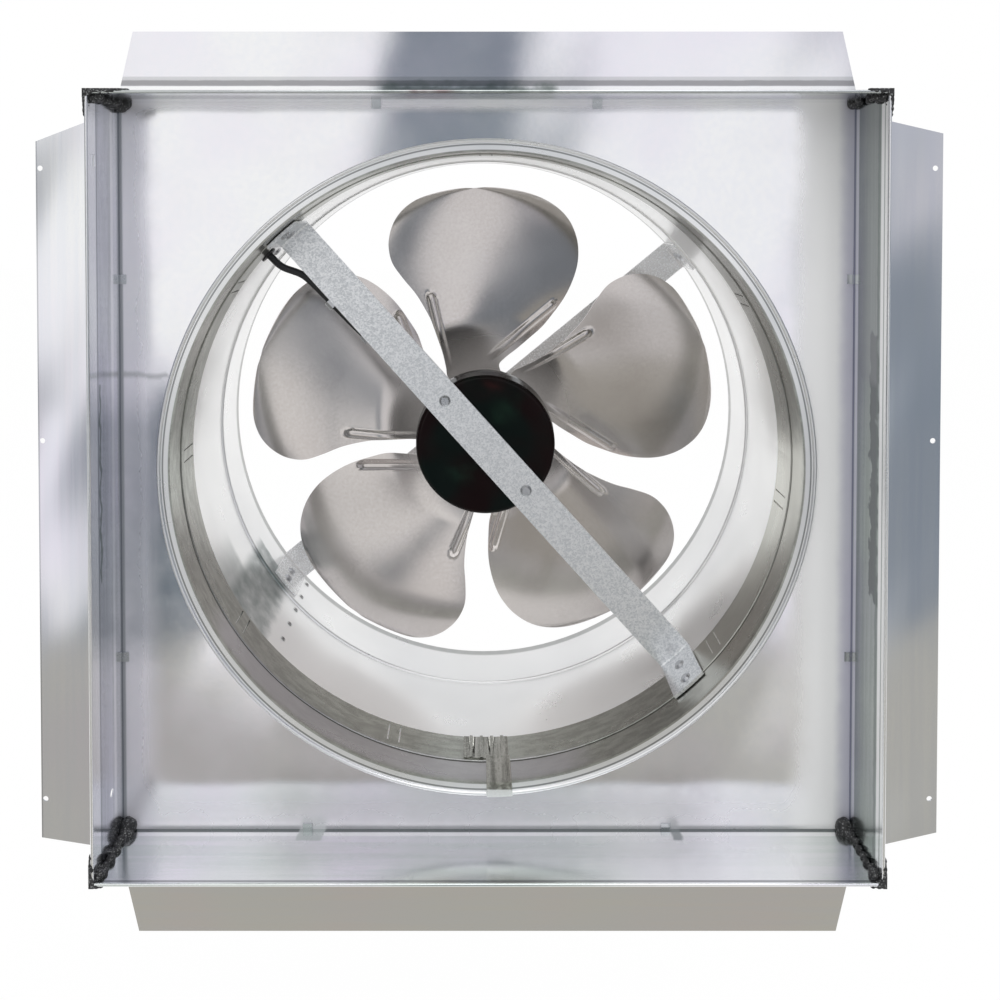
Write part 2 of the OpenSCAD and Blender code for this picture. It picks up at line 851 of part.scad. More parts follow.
module motor_shaft() {
    color(bright_steel)
        shaft(shaft_r, y_front_bearing + 0.5, shaft_end);
}

module rotor_core() {
    color("slategray")
        tube(shaft_r + hub_fit / 2, rotor_r, stack_y, stack_y + stack_len);
}

// Washers on the shaft that keep the rotor between the bearings
module thrust_washers() {
    y0 = y_front_bearing + bearing_len + 0.3;
    y1 = y_rear_bearing - 0.3;
    color("#7a5a3a") {
        tube(shaft_r + hub_fit / 2, shaft_r + 3, y0, stack_y);
        tube(shaft_r + hub_fit / 2, shaft_r + 3, stack_y + stack_len, y1);
    }
}

// Depth of a blade's middle surface at a radius, an angle, and a share of the blade's width
function smooth(x) = let (t = min(1, max(0, x))) t * t * (3 - 2 * t);
function bump(w, middle, half) = max(0, 1 - pow((w - middle) / half, 2));
function rib(share, w) =
    rib_h * (1 - smooth((share - rib_end + 0.05) / 0.06)) * smooth((share - 0.24) / 0.04)
        * max(bump(w, 0.92, 0.06), 0.8 * bump(w, 0.04 + 2 * pow(rib_end - share, 2), 0.06));
function blade_depth(share, u, w) =
    let (grown = smooth((share - 0.235) / 0.23))
    y_disc - grown * (lead * u + camber * (1 - pow(2 * w - 1, 2))) - rib(share, w);
function blade_point(row, w, side) =
    let (u = row[1] + w * (row[2] - row[1]), r = row[0] * fan_r)
    [r * cos(90 + u), blade_depth(row[0], u, w) + side * blade_t / 2, r * sin(90 + u)];

// One blade, as a closed sheet that follows the outline
module blade() {
    rows = len(blade_outline);
    cols = len(blade_columns);
    sheet = [
        for (side = [1, -1]) for (row = blade_outline) for (w = blade_columns) blade_point(row, w, side)
    ];
    back = rows * cols;
    polyhedron(
        points = sheet,
        faces = concat(
            [for (i = [0:rows - 2]) for (j = [0:cols - 2]) let (k = i * cols + j) [k, k + cols, k + 1]],
            [for (i = [0:rows - 2]) for (j = [0:cols - 2]) let (k = i * cols + j) [k + 1, k + cols, k + cols + 1]],
            [for (i = [0:rows - 2]) for (j = [0:cols - 2]) let (k = back + i * cols + j) [k, k + 1, k + cols]],
            [for (i = [0:rows - 2]) for (j = [0:cols - 2]) let (k = back + i * cols + j)
                [k + 1, k + cols + 1, k + cols]],
            [for (i = [0:rows - 2]) let (k = i * cols) [k, back + k, k + cols]],
            [for (i = [0:rows - 2]) let (k = i * cols) [k + cols, back + k, back + k + cols]],
            [for (i = [0:rows - 2]) let (k = i * cols + cols - 1) [k, k + cols, back + k]],
            [for (i = [0:rows - 2]) let (k = i * cols + cols - 1) [k + cols, back + k + cols, back + k]],
            [for (j = [0:cols - 2]) [j, j + 1, back + j]],
            [for (j = [0:cols - 2]) [j + 1, back + j + 1, back + j]],
            [for (j = [0:cols - 2]) let (k = (rows - 1) * cols + j) [k, back + k, k + 1]],
            [for (j = [0:cols - 2]) let (k = (rows - 1) * cols + j) [k + 1, back + k, back + k + 1]]
        )
    );
}

// The stamped fan: five blades on a disc that is riveted to the hub
module fan_blades() {
    color(blade_grey)
        difference() {
            union() {
                shaft(disc_r, y_disc - disc_t / 2, y_disc + disc_t / 2);
                for (i = [0:blades - 1]) {
                    turn(i * 360 / blades) blade();
                }
            }
            shaft(hub_r + hole_gap, y_disc - 5, y_disc + 5);
            for (i = [0:4]) {
                turn(90 + i * 72)
                    translate([hub_rivet_at, 0, 0])
                        shaft(hub_rivet_r + hole_gap, y_disc - 5, y_disc + 5, 48);
            }
        }
}

module fan_hub() {
    color(bright_steel)
        difference() {
            union() {
                shaft(hub_r, y_hub, y_hub + hub_len);
                shaft(hub_flange_r, y_disc + disc_t / 2, y_disc + disc_t / 2 + hub_flange_t);
            }
            shaft(shaft_r + hub_fit / 2, y_hub - 1, y_hub + hub_len + 1);
            for (i = [0:4]) {
                turn(90 + i * 72)
                    translate([hub_rivet_at, 0, 0])
                        shaft(hub_rivet_r + hole_gap, y_disc, y_disc + 5, 48);
            }
            translate([0, y_hub + hub_len - 5, 0]) radial_rod(2.5 + hub_fit, 0, hub_r + 1);
        }
}

module hub_rivets() {
    y0 = y_disc - disc_t / 2;
    y1 = y_disc + disc_t / 2 + hub_flange_t;
    color(bright_steel)
        for (i = [0:4]) {
            turn(90 + i * 72)
                translate([hub_rivet_at, 0, 0])
                    union() {
                        shaft(hub_rivet_r, y0 - eps, y1 + eps, 32);
                        shaft(1.8 * hub_rivet_r, y0 - 1, y0, 32);
                        shaft(1.8 * hub_rivet_r, y1, y1 + 1, 32);
                    }
        }
}

module set_screw() {
    color("dimgray")
        translate([0, y_hub + hub_len - 5, 0])
            difference() {
                radial_rod(2.5, shaft_r + 0.1, hub_r - 0.5);
                radial_rod(1.2, hub_r - 3.5, hub_r, 6);
            }
}

// Route of the motor lead in the frame of the whole fan
function at_exit(r, y) = [r * cos(lead_angle), y_lead_exit + y, r * sin(lead_angle)];
function on_strap(a, b, y) = [
    a * cos(front_strap_angle) - b * sin(front_strap_angle),
    y,
    a * sin(front_strap_angle) + b * cos(front_strap_angle)
];
lead_route = concat(
    [for (p = lead_exit_route) at_exit(barrel_in + p[0], p[1])],
    [for (p = lead_strap_route) on_strap(p[0], p[1], lead_y - p[2])],
    [
        on_strap(can_r + 20, motor_entry_b, lead_y + 1.6),
        on_strap(can_r + 9, motor_entry_b, motor_entry_y - 0.6),
        on_strap(can_r + 3, motor_entry_b, motor_entry_y),
        on_strap(can_r - 6, motor_entry_b, motor_entry_y)
    ]
);
side_ref = [-sin(lead_angle), 0, cos(lead_angle)];
lead_steps = 3;
function spline(p0, p1, p2, p3, t) =
    0.5 * (2 * p1 + (p2 - p0) * t + (2 * p0 - 5 * p1 + 4 * p2 - p3) * t * t
        + (3 * p1 - p0 - 3 * p2 + p3) * t * t * t);
lead_last = len(lead_route) - 1;
lead_curve = concat(
    [for (i = [0:lead_last - 1]) for (k = [0:lead_steps - 1])
        spline(lead_route[max(0, i - 1)], lead_route[i], lead_route[i + 1],
            lead_route[min(lead_last, i + 2)], k / lead_steps)],
    [lead_route[lead_last]]
);
function unit(v) = v / norm(v);

// A round tube along a list of points, closed at both ends
module swept_tube(points, r, sides) {
    n = len(points);
    rings = [
        for (i = [0:n - 1])
            let (
                tangent = unit(points[min(n - 1, i + 1)] - points[max(0, i - 1)]),
                up = unit(cross(tangent, side_ref)),
                side = cross(up, tangent)
            )
            for (k = [0:sides - 1])
                points[i] + r * (cos(k * 360 / sides) * side + sin(k * 360 / sides) * up)
    ];
    polyhedron(
        points = rings,
        faces = concat(
            [[for (k = [0:sides - 1]) k]],
            [for (i = [0:n - 2]) for (k = [0:sides - 1])
                [i * sides + k, (i + 1) * sides + k, i * sides + (k + 1) % sides]],
            [for (i = [0:n - 2]) for (k = [0:sides - 1])
                [(i + 1) * sides + k, (i + 1) * sides + (k + 1) % sides, i * sides + (k + 1) % sides]],
            [[for (k = [sides - 1:-1:0]) (n - 1) * sides + k]]
        )
    );
}

module motor_lead() {
    color(rubber_black)
        swept_tube(lead_curve, lead_r, 10);
}

// Rubber ring in the motor's side wall
module motor_grommet() {
    color(rubber_black)
        turn(front_strap_angle)
            translate([0, motor_entry_y, motor_entry_b])
                difference() {
                    union() {
                        radial_rod(grommet_r, can_r - 5, can_r + 1);
                        radial_rod(grommet_r + 1.5, can_r + 0.2, can_r + 0.2 + grommet_t);
                    }
                    radial_rod(lead_bore_r, can_r - 7, can_r + 4);
                }
}

// Rubber ring in the barrel wall, between the barrel and the wiring box
module wall_grommet() {
    color(rubber_black)
        turn(lead_angle)
            translate([0, y_lead_exit, 0])
                difference() {
                    union() {
                        radial_rod(grommet_r, barrel_in - 1, box_in + box_t + 0.5);
                        radial_rod(grommet_r + 1.5, barrel_in - 0.2 - grommet_t, barrel_in - 0.2);
                    }
                    radial_rod(lead_bore_r, barrel_in - 4, box_in + box_t + 2);
                }
}

// Two clips that hold the lead behind the strap
function route_b(a) = lookup(a, [for (p = lead_strap_route) [p[0], p[1]]]);
module lead_clips() {
    color(bright_steel)
        for (a = clip_at) {
            b = route_b(a) + 0.2;
            turn(front_strap_angle)
                difference() {
                    union() {
                        translate([0, lead_y, b])
                            radial_rod(lead_bore_r + 0.5 + clip_t, a - clip_len / 2, a + clip_len / 2);
                        translate([a - clip_len / 2, y_motor, b - 12])
                            cube([clip_len, clip_t, 12]);
                    }
                    translate([0, lead_y, b])
                        radial_rod(lead_bore_r + 0.5, a - clip_len / 2 - 1, a + clip_len / 2 + 1);
                    translate([a - clip_len, y_motor - 5, b - 20]) cube([2 * clip_len, 5, 40]);
                }
        }
}

// The box on the outside of the barrel in which the lead meets the supply
module box_space(inset, r0, r1) {
    translate([r0, y_box + inset, inset - box_w / 2])
        cube([r1 - r0, box_len - 2 * inset, box_w - 2 * inset]);
}

function box_screw_places() = [
    [y_box + box_t + lug / 2, box_w / 2 - box_t - lug / 2],
    [y_box + box_len - box_t - lug / 2, -box_w / 2 + box_t + lug / 2]
];

module wiring_box() {
    color(galvanised)
        turn(lead_angle)
            difference() {
                union() {
                    difference() {
                        box_space(0, box_in, box_out);
                        box_space(box_t, box_in + box_t, box_out + 1);
                    }
                    for (p = box_screw_places()) {
                        translate([box_out - 14, p[0] - lug / 2 - eps, p[1] - lug / 2])
                            cube([14, lug, lug]);
                    }
                }
                for (p = box_screw_places()) {
                    translate([0, p[0], p[1]]) radial_rod(box_screw_r + hole_gap, box_out - 12, box_out + 1);
                }
                for (y = box_rivets) {
                    translate([0, y, 0]) radial_rod(rivet_hole_r, box_in - 1, box_in + box_t + 1);
                }
                translate([0, y_lead_exit, 0]) radial_rod(grommet_r + hole_gap, box_in - 1, box_in + box_t + 1);
                translate([box_in + box_h / 2, 0, 0])
                    shaft(entry_r, y_box + box_len - box_t - 1, y_box + box_len + 1);
            }
}

module wiring_box_cover() {
    color(galvanised)
        turn(lead_angle)
            difference() {
                box_space(0, box_out, box_out + box_t);
                for (p = box_screw_places()) {
                    translate([0, p[0], p[1]]) radial_rod(box_screw_r + hole_gap, box_out - 1, box_out + box_t + 1);
                }
            }
}

module wiring_box_screws() {
    color(bright_steel)
        turn(lead_angle)
            for (p = box_screw_places()) {
                translate([0, p[0], p[1]])
                    difference() {
                        union() {
                            radial_rod(box_screw_r, box_out - 10, box_out + box_t + eps);
                            translate([box_out + box_t, 0, 0])
                                rotate([0, 90, 0])
                                    cylinder(r1 = 3, r2 = 2, h = 1.6, $fn = 32);
                        }
                        translate([box_out + box_t + 0.8, -4, -0.4]) cube([2, 8, 0.8]);
                    }
            }
}

module wiring_box_rivets() {
    color(bright_steel)
        for (y = box_rivets) {
            radial_rivet(lead_angle, y, barrel_in, box_in + box_t);
        }
}

// The block that joins the lead to the supply cable
module terminal_block() {
    base = box_in + box_t;
    color("ivory")
        turn(lead_angle)
            difference() {
                translate([base + 1.5, y_block, -block_w / 2]) cube([block_h, block_len, block_w]);
                for (z = [-10, 0, 10]) {
                    translate([base + 0.5 * block_h + 1, y_block + block_len / 2, z])
                        radial_rod(2, 0, block_h, 24);
                }
            }
}

back_panel();
wall_top();
wall_bottom();
wall_left();
wall_right();
flange_top();
flange_bottom();
flange_left();
flange_right();
seam_tabs();
corner_sealant();
inlet_collar();
collar_splice();
barrel();
barrel_lap();
front_strap();
front_strap_rivets();
rear_strap();
rear_strap_rivets();
motor_screws();
motor_nuts();
motor_front_shell();
motor_rear_shell();
motor_bolts();
stator_core();
stator_winding();
front_bearing();
rear_bearing();
motor_shaft();
rotor_core();
thrust_washers();
fan_blades();
fan_hub();
hub_rivets();
set_screw();
motor_lead();
motor_grommet();
wall_grommet();
lead_clips();
wiring_box();
wiring_box_cover();
wiring_box_screws();
wiring_box_rivets();
terminal_block();
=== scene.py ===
"""Looks of the square attic fan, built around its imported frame.

The frame holds every construction piece. This script gives each of them its finish, replaces the
pieces whose surface is freer than a construction solid, and adds the studio and the camera.
Lengths are in metres, and x points right, y away from the camera and z up.
"""

import json
import math

import bmesh
import bpy
from mathutils import Matrix, Vector, noise


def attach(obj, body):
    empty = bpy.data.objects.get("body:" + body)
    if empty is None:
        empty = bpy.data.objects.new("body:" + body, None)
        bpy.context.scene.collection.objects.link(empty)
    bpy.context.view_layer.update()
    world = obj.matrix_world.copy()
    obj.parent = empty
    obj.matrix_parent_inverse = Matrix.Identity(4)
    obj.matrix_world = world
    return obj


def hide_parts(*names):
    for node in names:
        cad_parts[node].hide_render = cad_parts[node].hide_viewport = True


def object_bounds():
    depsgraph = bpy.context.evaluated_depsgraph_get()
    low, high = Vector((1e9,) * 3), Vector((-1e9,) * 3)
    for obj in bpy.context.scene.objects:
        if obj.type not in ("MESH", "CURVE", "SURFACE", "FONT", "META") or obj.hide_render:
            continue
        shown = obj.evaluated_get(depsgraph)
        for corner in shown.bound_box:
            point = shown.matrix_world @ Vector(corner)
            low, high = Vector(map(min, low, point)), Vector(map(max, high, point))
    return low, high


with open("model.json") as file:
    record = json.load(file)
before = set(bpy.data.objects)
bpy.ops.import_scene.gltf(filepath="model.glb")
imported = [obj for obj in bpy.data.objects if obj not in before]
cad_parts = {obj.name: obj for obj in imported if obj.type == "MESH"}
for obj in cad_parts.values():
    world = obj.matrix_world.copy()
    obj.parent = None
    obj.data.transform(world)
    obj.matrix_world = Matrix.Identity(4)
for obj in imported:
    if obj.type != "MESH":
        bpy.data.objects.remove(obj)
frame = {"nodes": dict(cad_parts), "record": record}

CAD_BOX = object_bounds()
MM = 0.001
NODES = frame["nodes"]


# Camera

# The photograph is a square of this many pixels, and these are the two pixel values read from it:
# where the camera's own axis meets it, and the focal length.
IMAGE_PX = 1000
AIM_PX = (472.9, 227.7)
FOCAL_PX = 970.5
CAMERA_AT = (-8.8 * MM, -579.0 * MM, 166.7 * MM)
CAMERA_TILT = math.radians(1.2)
SENSOR_MM = 36.0


def add_camera():
    data = bpy.data.cameras.new("camera")
    data.sensor_width = SENSOR_MM
    data.lens = FOCAL_PX / IMAGE_PX * SENSOR_MM
    middle = IMAGE_PX / 2
    data.shift_x = (middle - AIM_PX[0]) / IMAGE_PX
    data.shift_y = (AIM_PX[1] - middle) / IMAGE_PX
    camera = bpy.data.objects.new("camera", data)
    camera.location = CAMERA_AT
    camera.rotation_euler = (math.pi / 2 - CAMERA_TILT, 0, 0)
    bpy.context.scene.collection.objects.link(camera)
    bpy.context.scene.camera = camera


# Materials


class Shader:
    """A material or world whose nodes are made by short calls."""

    def __init__(self, owner):
        owner.use_nodes = True
        self.tree = owner.node_tree
        self.tree.nodes.clear()

    def node(self, kind, inputs=None, **settings):
        made = self.tree.nodes.new(kind)
        for name, value in settings.items():
            setattr(made, name, value)
        for name, value in (inputs or {}).items():
            self.feed(made.inputs[name], value)
        return made

    def feed(self, socket, value):
        if isinstance(value, bpy.types.NodeSocket):
            self.tree.links.new(value, socket)
        elif hasattr(value, "__len__") and len(value) == 3 and len(socket.default_value) == 4:
            socket.default_value = (*value, 1)
        else:
            socket.default_value = value

    def math(self, operation, a, b=0.0, clamp=False):
        made = self.node("ShaderNodeMath", {0: a, 1: b}, operation=operation, use_clamp=clamp)
        return made.outputs[0]

    def ramp(self, value, low, high, out_low=0.0, out_high=1.0):
        """A smooth step of a value from one level to another."""
        inputs = {"Value": value, "From Min": low, "From Max": high}
        inputs.update({"To Min": out_low, "To Max": out_high})
        made = self.node("ShaderNodeMapRange", inputs, interpolation_type="SMOOTHSTEP")
        return made.outputs["Result"]

    def band(self, value, low, high, soft):
        """1 while a value is between two levels and 0 outside them, with soft sides."""
        half = soft / 2
        rise = self.ramp(value, low - half, low + half)
        return self.math("MULTIPLY", rise, self.ramp(value, high + half, high - half))

    def mix(self, share, a, b):
        """A colour between two others. A Mix node takes them in its sockets 6 and 7."""
        made = self.node("ShaderNodeMix", {"Factor": share}, data_type="RGBA")
        self.feed(made.inputs[6], a)
        self.feed(made.inputs[7], b)
        return made.outputs[2]

    def place(self, scale=(1, 1, 1)):
        """Object coordinates, stretched by a scale for each axis."""
        where = self.node("ShaderNodeTexCoord").outputs["Object"]
        return self.node("ShaderNodeMapping", {"Vector": where, "Scale": scale}).outputs[0]

    def noise(self, scale, detail, stretch=(1, 1, 1)):
        inputs = {"Vector": self.place(stretch), "Scale": scale, "Detail": detail}
        return self.node("ShaderNodeTexNoise", inputs).outputs["Fac"]

    def cells(self, scale):
        """A random grey for each cell, as in a spangled zinc surface."""
        made = self.node("ShaderNodeTexVoronoi", {"Vector": self.place(), "Scale": scale})
        return self.node("ShaderNodeSeparateColor", {"Color": made.outputs["Color"]}).outputs[0]

    def bump(self, height, distance, strength=1.0, under=None):
        inputs = {"Height": height, "Distance": distance, "Strength": strength}
        if under is not None:
            inputs["Normal"] = under
        return self.node("ShaderNodeBump", inputs).outputs[0]


# Scales of the textures, in cells to a metre
MARK_EDGES = 90
SHEET_CLOUDS = 9
SHEET_STREAKS = 260
SHEET_GRAIN = 900
SHEET_POLISH = 30
SPANGLE = 1100
STRAP_CLOUDS = 400
ENAMEL_RUNS = 70
ENAMEL_TINTS = 22
ENAMEL_POLISH = 60
BLADE_CLOUDS = 14
BLADE_GRAIN = 500
CAULK_DUST = 1100
CAULK_TINTS = 260
CAULK_GRAIN = 520
METAL_TINTS = 200
METAL_GRAIN = 600
METAL_POLISH = 100
MATT_TINTS = 150
MATT_GRAIN = 300

# The levels between which nearly all of a noise lies
NOISE_SPAN = (0.3, 0.7)

WAVE_PITCH = 160 * MM
# Each swell of the sheet: its length as a share of the pitch, and its way along x, y and z
SWELLS = [
    (1.0, 1.0, 0.4, 0.3), (0.73, -0.5, 0.3, 0.85), (1.7, 0.2, 0.2, 0.95), (0.41, 0.9, -0.3, -0.5),
]
# How much rougher and how much less metallic a metal is inside a haze mark
HAZE_ROUGH = 0.35
HAZE_DULL = 0.7


def new_material(name):
    material = bpy.data.materials.new(name)
    return material, Shader(material)


def add_marks(s, color, marks):
    """Lays soft-edged marks over a colour, each between two values of every place that it names.

    The places are x, y and z in millimetres and, round the fan's axis, the radius r and the turn in
    degrees. After the ranges come the softness, the raggedness, the share and the colour.
    """
    x, y, z = s.node("ShaderNodeSeparateXYZ", {0: s.place((1 / MM, 1 / MM, 1 / MM))}).outputs
    squares = s.math("ADD", s.math("MULTIPLY", x, x), s.math("MULTIPLY", z, z))
    turn = s.math("DEGREES", s.math("ARCTAN2", z, x))
    places = {"x": x, "y": y, "z": z, "r": s.math("SQRT", squares), "turn": turn}
    for ranges, soft, ragged, share, tint in marks:
        held = share
        for axis, (low, high) in ranges.items():
            value = places[axis]
            if ragged:
                edge = s.math("SUBTRACT", s.noise(MARK_EDGES, 4), 0.5)
                shift = s.math("MULTIPLY", edge, 2 * ragged)
                value = s.math("ADD", value, shift)
            held = s.math("MULTIPLY", held, s.band(value, low, high, soft))
        color = s.mix(held, color, tint)
    return color


def finish_material(s, color, roughness, metallic, normal, settings=None):
    inputs = {"Base Color": color, "Roughness": roughness, "Metallic": metallic, "Normal": normal}
    inputs.update(settings or {})
    surface = s.node("ShaderNodeBsdfPrincipled", inputs)
    s.node("ShaderNodeOutputMaterial", {"Surface": surface.outputs[0]})


def add_haze(s, roughness, metallic, haze):
    """Roughness and metallic share of a metal that is dull inside the haze marks."""
    hazy = add_marks(s, (0, 0, 0), haze)
    rougher = s.math("ADD", roughness, s.math("MULTIPLY", hazy, HAZE_ROUGH))
    return rougher, s.math("SUBTRACT", metallic, s.math("MULTIPLY", hazy, HAZE_DULL))


def ripples(s):
    """A smooth, slightly wavy height from a few crossing swells."""
    x, y, z = s.node("ShaderNodeSeparateXYZ", {0: s.place()}).outputs
    height = None
    for share, way_x, way_y, way_z in SWELLS:
        way = s.math("ADD", s.math("MULTIPLY", x, way_x), s.math("MULTIPLY", z, way_z))
        way = s.math("ADD", way, s.math("MULTIPLY", y, way_y))
        swell = s.math("SINE", s.math("MULTIPLY", way, 2 * math.pi / (share * WAVE_PITCH)))
        height = swell if height is None else s.math("ADD", height, swell)
    return height


def sheet_zinc(name, light, dark, tint, rough=(0.08, 0.13), waves=0.1 * MM, streaks=(1, 1, 1),
               worn=0.3, metallic=1.0, marks=(), haze=(), grain_h=0.01 * MM):
    """Galvanised sheet: broad clouds of tint, faint rolling streaks, fine grain and a wavy surface.

    Inside its haze marks the zinc is duller and rougher.
    """
    material, s = new_material(name)
    clouds = s.ramp(s.noise(SHEET_CLOUDS, 2), 0.35, 0.65)
    rolled = s.noise(SHEET_STREAKS, 4, streaks)
    grain = s.noise(SHEET_GRAIN, 2)
    color = s.mix(clouds, light, tint)
    tone = s.math("ADD", s.math("MULTIPLY", rolled, 0.7), s.math("MULTIPLY", grain, 0.3))
    color = s.mix(s.ramp(tone, 0.62, 0.38, 0, worn), color, dark)
    if marks:
        color = add_marks(s, color, marks)
    roughness = s.ramp(s.noise(SHEET_POLISH, 4, streaks), *NOISE_SPAN, *rough)
    if haze:
        roughness, metallic = add_haze(s, roughness, metallic, haze)
    normal = s.bump(ripples(s), waves)
    normal = s.bump(rolled, grain_h, 0.5, normal)
    finish_material(s, color, roughness, metallic, normal)
    return material


def strap_zinc(name, light, dark, rough=(0.3, 0.42), metallic=1.0):
    """Heavier zinc on the straps: a fine pale spangle."""
    material, s = new_material(name)
    speckle = s.cells(SPANGLE)
    cloud = s.noise(STRAP_CLOUDS, 4)
    tone = s.math("ADD", s.math("MULTIPLY", speckle, 0.45), s.math("MULTIPLY", cloud, 0.55))
    color = s.mix(s.ramp(tone, 0.25, 0.75), dark, light)
    normal = s.bump(speckle, 0.015 * MM, 0.5)
    finish_material(s, color, s.ramp(tone, 0.2, 0.8, rough[1], rough[0]), metallic, normal)
    return material


def black_enamel():
    """Thick gloss enamel with faint runs, and reddish and greenish glints painted into its colour as
    reflections.
    """
    material, s = new_material("motor_black")
    normal = s.bump(s.noise(ENAMEL_RUNS, 2), 0.12 * MM, 0.6)
    tints = s.ramp(s.noise(ENAMEL_TINTS, 2), 0.4, 0.6)
    tint = s.mix(tints, (0.003, 0.006, 0.005), (0.007, 0.003, 0.003))
    tint = add_marks(s, tint, MOTOR_PAINTED_GLINTS)
    roughness = s.ramp(s.noise(ENAMEL_POLISH, 3), *NOISE_SPAN, 0.1, 0.18)
    finish_material(s, tint, roughness, 0.0, normal, {"Specular IOR Level": 0.1})
    return material


def blade_metal():
    """Bare pressed aluminium, slightly pink and cloudy, and duller near the hub."""
    material, s = new_material("blade_aluminium")
    clouds = s.noise(BLADE_CLOUDS, 2)
    grain = s.noise(BLADE_GRAIN, 3)
    tone = s.math("ADD", s.math("MULTIPLY", clouds, 0.7), s.math("MULTIPLY", grain, 0.3))
    color = s.mix(s.ramp(tone, 0.35, 0.65), (0.57, 0.535, 0.515), (0.66, 0.625, 0.605))
    roughness, metallic = add_haze(s, s.ramp(clouds, *NOISE_SPAN, 0.14, 0.2), 0.99, HUB_HAZE)
    finish_material(s, color, roughness, metallic, s.bump(grain, 0.006 * MM, 0.4))
    return material


def speckled_caulk():
    """Black caulk with pale dust on its grain."""
    material, s = new_material("sealant")
    dust = s.ramp(s.noise(CAULK_DUST, 3), 0.56, 0.66)
    tint = s.mix(s.noise(CAULK_TINTS, 4), (0.006, 0.006, 0.007), (0.022, 0.022, 0.023))
    color = s.mix(s.math("MULTIPLY", dust, 0.6), tint, (0.33, 0.34, 0.34))
    roughness = s.ramp(s.noise(CAULK_TINTS, 3), *NOISE_SPAN, 0.35, 0.65)
    finish_material(s, color, roughness, 0.0, s.bump(s.noise(CAULK_GRAIN, 3), 0.3 * MM, 0.5))
    return material


def plain_metal(name, dark, light, rough=(0.25, 0.4)):
    material, s = new_material(name)
    tint = s.mix(s.noise(METAL_TINTS, 4), dark, light)
    roughness = s.ramp(s.noise(METAL_POLISH, 3), *NOISE_SPAN, *rough)
    finish_material(s, tint, roughness, 1.0, s.bump(s.noise(METAL_GRAIN, 2), 0.02 * MM, 0.4))
    return material


def plain_matt(name, dark, light):
    material, s = new_material(name)
    tint = s.mix(s.noise(MATT_TINTS, 4), dark, light)
    roughness = s.ramp(s.noise(MATT_TINTS, 3), *NOISE_SPAN, 0.4, 0.6)
    finish_material(s, tint, roughness, 0.0, s.bump(s.noise(MATT_GRAIN, 3), 0.1 * MM, 0.5))
    return material


# Rolling streaks that run up, across, round the fan's axis and along it, as the scale of each axis
UP_STREAKS = (1, 1, 0.03)
ACROSS_STREAKS = (0.03, 1, 1)
AROUND_STREAKS = (0.35, 1, 0.35)
ALONG_STREAKS = (1, 0.05, 1)

PALE = (0.88, 0.885, 0.89)
COOL = (0.80, 0.82, 0.87)
LAVENDER = (0.84, 0.82, 0.88)
WARM = (0.85, 0.84, 0.81)
GREENISH = (0.66, 0.72, 0.69)
SHADOW = (0.10, 0.11, 0.12)
BRIGHT = (0.96, 0.965, 0.97)

# Marks on single pieces, each with its ranges, softness, raggedness, share and colour. In a haze
# mark the colour is white, and the share says how dull the metal is.
# Painted reflections on the motor: reddish and greenish glints laid into the enamel's colour.
MOTOR_PAINTED_GLINTS = [
    ({"x": (0, 10), "z": (40, 44)}, 12, 7, 0.6, (0.05, 0.012, 0.012)),
    ({"x": (8, 20), "z": (20, 30)}, 16, 9, 0.5, (0.01, 0.03, 0.018)),
    ({"x": (-27, -10), "z": (-23, -17)}, 14, 9, 0.5, (0.012, 0.03, 0.02)),
]
# Painted reflections and shade on the back panel: a near-white strip towards the right edge, a
# lavender strip, a dark patch and a painted shadow line in the gap at the left wall, a grey line at
# the left side, a dark bluish strip at the right edge and a grey band along the bottom.
PANEL_PAINTED_LIGHT = [
    ({"x": (196, 229)}, 16, 3, 1.0, (0.99, 0.99, 0.99)),
    ({"x": (-236, -212)}, 16, 2, 0.4, (0.82, 0.80, 0.90)),
    ({"x": (-236, -205), "z": (-118, 40)}, 34, 6, 0.6, (0.24, 0.27, 0.32)),
    ({"x": (-234, -231.3)}, 1.2, 0, 0.75, (0.30, 0.32, 0.35)),
    ({"x": (-233, -203), "z": (58, 61)}, 3, 3, 0.7, (0.42, 0.43, 0.45)),
    ({"x": (226, 240)}, 9, 1, 0.6, (0.40, 0.40, 0.52)),
    ({"x": (-140, 140), "z": (-236, -200)}, 40, 8, 0.5, (0.42, 0.42, 0.43)),
]
PANEL_HAZE = [
    ({"x": (201, 250)}, 24, 3, 1.0, (1, 1, 1)),
    ({"x": (-250, -216)}, 24, 3, 0.6, (1, 1, 1)),
    ({"z": (-250, -212)}, 30, 3, 0.5, (1, 1, 1)),
    ({"z": (229, 245)}, 8, 0, 0.6, (1, 1, 1)),
]
# The barrel's inside, as its range of radii
INSIDE = (100, 203.4)
# The colour of a painted reflection on the barrel's inside.
REFLECTION_TEAL = (0.15, 0.19, 0.185)
# The five spot welds beside the barrel's seam, which are burnt dark: their turn and their depths
WELD_TURN = (-135.9, -135.1)
WELD_DEPTHS = (109.8, 134.8, 159.8, 184.8, 209.8)
WELD_HALF = 2
BARREL_HAZE = [({"r": INSIDE}, 0.3, 0, 0.35, (1, 1, 1))]
